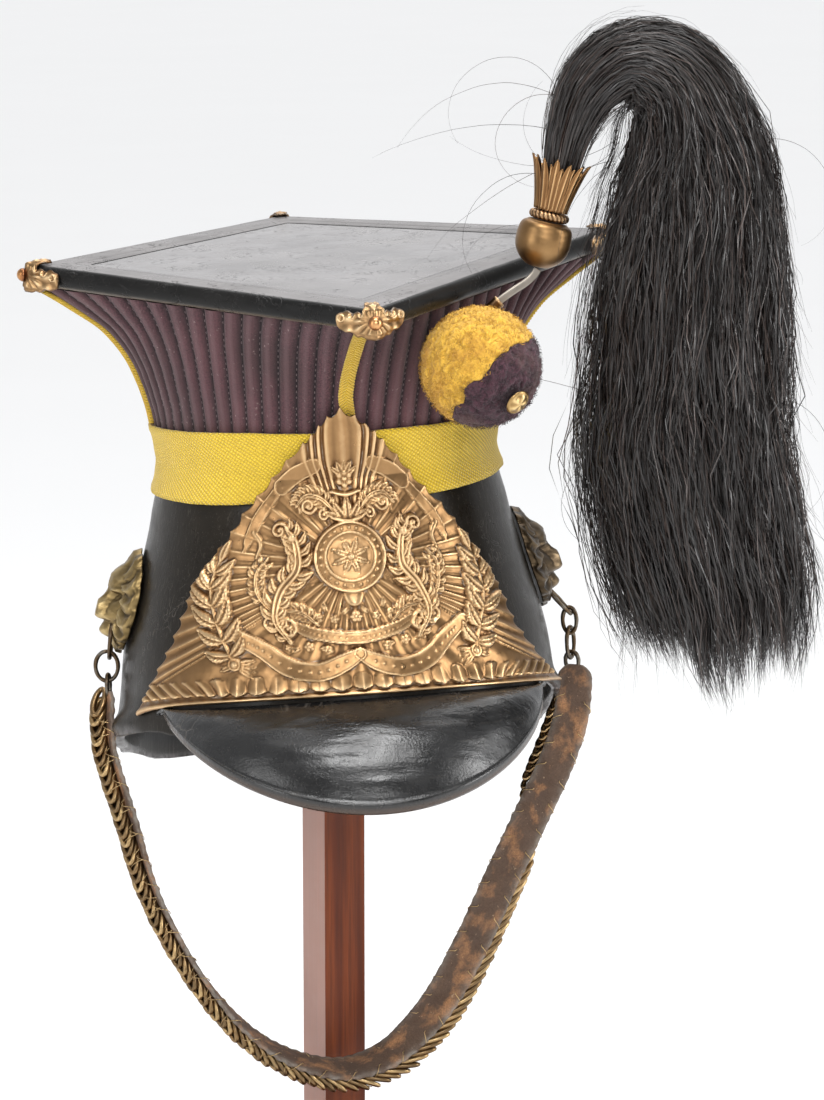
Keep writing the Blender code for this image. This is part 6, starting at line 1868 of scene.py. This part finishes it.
def build_hair():
    """Strands in locks along the hair's line, an inner mass and fly-away hairs."""
    rng = np.random.default_rng(101)
    fine, wide = hair_frames(241)
    run = run_of(fine[:, :3])
    lock_bearing = rng.uniform(0, 2 * np.pi, LOCKS)
    lock_depth = np.sqrt(rng.uniform(0.02, 0.96, LOCKS))
    lock_phase = rng.uniform(0, 2 * np.pi, (LOCKS, 5))
    lock_reach = rng.uniform(0.50, 1.20, LOCKS)
    # The inner mass gets the hair's skin at half its tone: painted shade inside the plume.
    skin, shaded_core_skin = hair_skin("plume_horse_hair", 1.0), hair_skin("plume_hair_core", 0.5)
    spacing = np.interp(np.linspace(0, 1, HAIR_POINTS), (0.0, 0.08, 0.44, 1.0), (0.0, 0.06, 0.36, 1.0))
    knots = np.linspace(0, 1, 25)
    groups = [Form() for _ in range(3)]
    for k in range(STRANDS):
        lock = rng.integers(LOCKS)
        loose = rng.uniform() < 0.22
        offset = rng.normal(0, 0.24 if loose else 0.085, 2)
        centre = lock_depth[lock] * np.array([math.cos(lock_bearing[lock]), math.sin(lock_bearing[lock])])
        spot = centre + offset
        far = math.hypot(*spot)
        if far > 1.03:
            spot *= rng.uniform(0.93, 1.05) / far
            offset = spot - centre
        bearing = math.atan2(spot[1], spot[0])
        total = run[-1] + lock_fall(bearing) * lock_reach[lock] * rng.uniform(0.75, 1.05)
        begin = 0.0 if rng.uniform() < 0.85 else rng.uniform(0.02, 0.10)
        end = total * (1.0 if rng.uniform() < 0.70 else rng.uniform(0.62, 0.98))
        s = mix(begin, end, spacing)
        base, w = columns_at(s, run, fine), columns_at(s, run, wide)
        t = s / total
        gather = 1 - (0.0 if loose else 0.65) * ease(0.78, 1.0, s / end)
        spread = mix(0.80, 1.0, ease(0.0, 0.3, t))
        a = (centre[0] + offset[0] * gather) * spread
        b = (centre[1] + offset[1] * gather) * spread
        phase = lock_phase[lock]
        swing = ease(0.06, 0.36, t)
        border = float(ease(0.72, 1.0, far))
        sway = swing * (0.0016 * np.sin(s * 70 + phase[0]) + 0.0011 * np.sin(s * 135 + phase[1]))
        yaw = swing * (0.0016 * np.sin(s * 64 + phase[2]) + 0.0009 * np.sin(s * 150 + phase[3]))
        wild = rng.uniform(0.0005, 0.0014) * (1.3 if loose else 1.0 + 0.6 * border) * ease(0.08, 0.40, t)
        kink = wild * np.interp(s / end, knots, rng.normal(size=25))
        twist = wild * np.interp(s / end, knots, rng.normal(size=25))
        line = base[:, :3] + w * (HAIR_WIDTH * base[:, 3] * a + sway + kink)[:, None]
        line[:, 1] += HAIR_DEPTH * base[:, 4] * b + yaw + twist
        drift = 0.0042 * border * rng.normal() * ease(0.25, 0.8, t)
        if math.cos(bearing) > 0.2:
            drift = -1.3 * np.abs(drift)
        line += w * (drift * math.cos(bearing))[:, None]
        tuck = ease(0.075, 0.120, line[:, 2]) * ease(0.4, 0.9, w[:, 0]) * clamp(-a)
        line[:, 0] += HAIR_TUCK * tuck
        past = np.maximum(s - run[-1], 0)
        line[:, 0] += 0.34 * float(ease(0.25, -0.7, spot[0])) * past
        line[:, 2] -= past
        taper = np.clip((end - s) / 0.020, 0.12, 1.0)
        roll = bearing + rng.normal(0, 0.8) + 0.9 * np.sin(s * rng.uniform(30, 110) + phase[4])
        radial = unit(w * np.cos(roll)[:, None] + joined(0.0, np.sin(roll), 0.0))
        side = unit(np.cross(tangents(line), radial)) * (rng.uniform(0.00009, 0.00024) * taper)[:, None]
        groups[k % 3].grid(joined_sides(line, side), marks=np.full((HAIR_POINTS, 2), rng.uniform()))
    for letter, form in zip("abc", groups):
        form.make("plume_strands_" + letter, skin, ("plume_hair",) if letter == "a" else (), "plume_hair")
    build_hair_core(shaded_core_skin)
    build_flyaways(rng, fine, run, wide, skin)


def build_hair_core(skin):
    """Inner mass of the hair, combed into fine grooves."""
    rows, wide = hair_frames(90)
    t, index = np.meshgrid(full_turn(96), np.arange(90) / 89 * 119)
    groove = 0.62 + 0.035 * noise(joined(t * 9, index * 0.02, 0.0), 1.0, 121) + 0.03 * np.cos(16 * t)
    groove = groove * (1 - 0.35 * ease(95, 119, index))
    points = (rows[:, None, :3] + wide[:, None] * (HAIR_WIDTH * rows[:, 3:4] * np.cos(t) * groove)[..., None])
    points[..., 1] += HAIR_DEPTH * rows[:, 4:5] * np.sin(t) * groove
    fall = ease(0.4, 0.9, wide[:, 0])[:, None]
    points[..., 0] += HAIR_TUCK * ease(0.075, 0.120, points[..., 2]) * fall * clamp(-np.cos(t))
    Form().tube(points).make("plume_hair_core", skin, (), "plume_hair")


def thin_hair(form, line, rng):
    """Tapering ribbon that faces the front."""
    t = np.linspace(0, 1, len(line))
    side = unit(np.cross(tangents(line), (0.15, -1.0, 0.1))) * (0.00010 * (1.05 - 0.8 * t))[:, None]
    form.grid(joined_sides(line, side), marks=np.full((len(line), 2), rng.uniform(0.2, 1)))


def build_flyaways(rng, fine, run, wide, skin):
    """Single hairs that stray from the outside of the plume, and a few long curls."""
    form = Form()
    t = np.linspace(0, 1, 13)
    for _ in range(FLYAWAYS):
        start = rng.uniform(0.05, 0.94) * run[-1]
        s = np.linspace(start, min(start + rng.uniform(0.018, 0.075), run[-1] + 0.03), 13)
        bearing = rng.uniform(0, 2 * np.pi)
        base, w = columns_at(s, run, fine), columns_at(s, run, wide)
        right_side = math.cos(bearing) > 0.3 and start > 0.45 * run[-1]
        away = rng.uniform(0.001, 0.0066) * t ** 1.2 * (1.5 if right_side else 1.0)
        away = np.where(w[:, 2] > 0.5, np.minimum(away, 0.0035), away)
        curl = rng.uniform(0.0008, 0.0026) * (np.sin(t * rng.uniform(2, 9) + rng.uniform(0, 6)))
        bend = rng.uniform(0.0005, 0.0020) * np.sin(t * rng.uniform(3, 10) + rng.uniform(0, 6)) * t
        line = base[:, :3] + w * ((HAIR_WIDTH * base[:, 3] * 0.96 + away) * math.cos(bearing) + curl * t)[:, None]
        line[:, 1] += (HAIR_DEPTH * base[:, 4] * 0.96 + away) * math.sin(bearing) + bend
        line[:, 2] -= np.maximum(s - run[-1], 0) + bend * 0.6
        if line[:, 0].max() < HAIR_FAR:
            thin_hair(form, line, rng)
    for _ in range(LONG_CURLS):
        s = rng.uniform(0.05, 0.85) * run[-1]
        base, w = columns_at(s, run, fine), columns_at(s, run, wide)
        way = w if w[0] < 0 or w[2] > 0.6 or rng.uniform() < 0.4 else -w
        heading = unit(way + rng.normal(0, 0.5, 3) * (1, 0.5, 1))
        turn = rng.uniform(-60, 60)
        line = [base[:3] + way * HAIR_WIDTH * base[3] * 0.9]
        for _ in range(32):
            heading = unit(heading + turn * 0.0022 * np.cross(heading, (0.0, -1.0, 0.0)) + rng.normal(0, 0.02, 3))
            line.append(line[-1] + heading * 0.0022)
        line = np.array(line)
        if ((line[:, 2] < HAIR_TOP) & (line[:, 0] < HAIR_RIGHT)).all():
            thin_hair(form, line, rng)
    form.make("plume_flyaway_hair", skin, (), "plume_hair")


# Stand

UPRIGHT = 2


def wood_skin(name, way):
    """Dark red wood whose grain runs along one axis, given by its number."""
    s = Skin(name, 0.42)

    def stretched(across, along):
        return s.scaled(s.where, tuple(along if axis == way else across for axis in range(3)))

    rings = s.waves(38.0, stretched(1.0, 0.06), "DIAGONAL", 7.0)
    fine = s.noise(1.0, 4.0, stretched(620.0, 22.0))
    tone = s.blend(rings, (0.095, 0.019, 0.005), (0.165, 0.036, 0.008))
    tone = s.blend(s.ramp(fine, [(0.35, 0.6), (0.62, 0.0)]), tone, (0.055, 0.014, 0.006))
    tone = s.blend(s.ramp(s.noise(1.0, 3.0, stretched(24.0, 3.0)), rise(0.5, 0.75, 0.4)), tone, (0.34, 0.085, 0.020))
    # The post's faces turned to -X are painted lighter and pinker: painted light on that side.
    if way == UPRIGHT:
        painted_light_side = s.math("MULTIPLY", s.normal_part("X"), -1.0)
        tone = s.blend(s.ramp(painted_light_side, rise(0.5, 0.8, 0.7)), tone, (0.48, 0.30, 0.25))
    s.colour(tone).rough(s.ramp(s.noise(120.0), [(0.2, 0.32), (0.8, 0.55)]))
    return s.bump(fine, 0.00015, 0.6).bump(rings, 0.0002, 0.3).set(Specular_IOR_Level=0.20)


def dress_stand():
    flat, upright = wood_skin("stand_wood_flat", 0), wood_skin("stand_wood_upright", UPRIGHT)
    for name, skin in (("stand_base", flat), ("stand_post", upright), ("stand_head", upright)):
        CAD[name].material_slots[0].material = skin.made


# Floor, lights and camera

FLOOR_REACH = 12.0


def area_light(name, place, target, size, power):
    lamp = bpy.data.lights.new(name, "AREA")
    lamp.shape = "RECTANGLE"
    lamp.size, lamp.size_y = size
    lamp.energy = power
    thing = added(name, lamp)
    thing.location = place
    thing.rotation_euler = (Vector(target) - Vector(place)).to_track_quat("-Z", "Y").to_euler()


def build_floor():
    mesh = bpy.data.meshes.new("floor")
    mesh.from_pydata([(x * FLOOR_REACH, y * FLOOR_REACH, 0) for x, y in ((-1, -1), (1, -1), (1, 1), (-1, 1))], [],
                     [(0, 1, 2, 3)])
    s = Skin("pale_floor", 0.85)
    s.colour(s.blend(s.noise(3.0), (0.86, 0.86, 0.86), (0.88, 0.88, 0.88)))
    mesh.materials.append(s.made)
    floor = added("floor", mesh)


def build_sky():
    """Pale surroundings, brighter behind the hat than behind the camera."""
    world = bpy.data.worlds.new("studio") if bpy.context.scene.world is None else bpy.context.scene.world
    bpy.context.scene.world = world
    world.use_nodes = True
    nodes, links = world.node_tree.nodes, world.node_tree.links
    sky = nodes["Background"]
    sky.inputs["Color"].default_value = (0.97, 0.98, 1.0, 1.0)
    where, split = nodes.new("ShaderNodeTexCoord"), nodes.new("ShaderNodeSeparateXYZ")
    slope = nodes.new("ShaderNodeMapRange")
    for socket, value in (("From Min", -0.8), ("From Max", 0.8), ("To Min", 0.20), ("To Max", 0.86)):
        slope.inputs[socket].default_value = value
    links.new(where.outputs["Generated"], split.inputs["Vector"])
    links.new(split.outputs["Y"], slope.inputs["Value"])
    links.new(slope.outputs["Result"], sky.inputs["Strength"])


def build_lights():
    sun = bpy.data.lights.new("overhead_sun", "SUN")
    sun.energy = 1.7
    sun.angle = math.radians(50)
    added("overhead_sun", sun).rotation_euler = (math.radians(-28), math.radians(8), 0.0)
    middle = (0.0, 0.0, 0.30)
    area_light("left_softbox", (-1.30, -0.80, 0.75), middle, (0.5, 1.2), 8.5)
    area_light("right_softbox", (1.30, -0.45, 0.65), middle, (0.35, 1.1), 12.0)
    area_light("front_fill", (0.0, -1.9, 1.15), middle, (1.0, 0.8), 19.0)
    area_light("overhead_softbox", (0.04, -0.36, 1.25), (0.0, -0.12, 0.25), (0.46, 0.36), 7.0)


def build_camera():
    lens = bpy.data.cameras.new("photo_camera")
    lens.lens = 130.9
    lens.sensor_width = 36.0
    eye = added("photo_camera", lens)
    eye.location = (-0.18729, -1.56117, 0.59579)
    eye.rotation_euler = (math.radians(79.5), 0.0, math.radians(-8.0))
    bpy.context.scene.camera = eye
    bpy.context.scene.view_settings.view_transform = "Standard"


def main():
    build_skull()
    build_peak()
    build_crown()
    build_stitches()
    build_piping()
    build_band()
    build_board()
    build_corner_leaves()
    build_plate()
    build_boss(-1, "left")
    build_boss(1, "right")
    build_rings()
    build_strap()
    build_chain()
    build_cockade()
    build_holder()
    build_hair()
    dress_stand()
    build_floor()
    build_sky()
    build_lights()
    build_camera()


main()
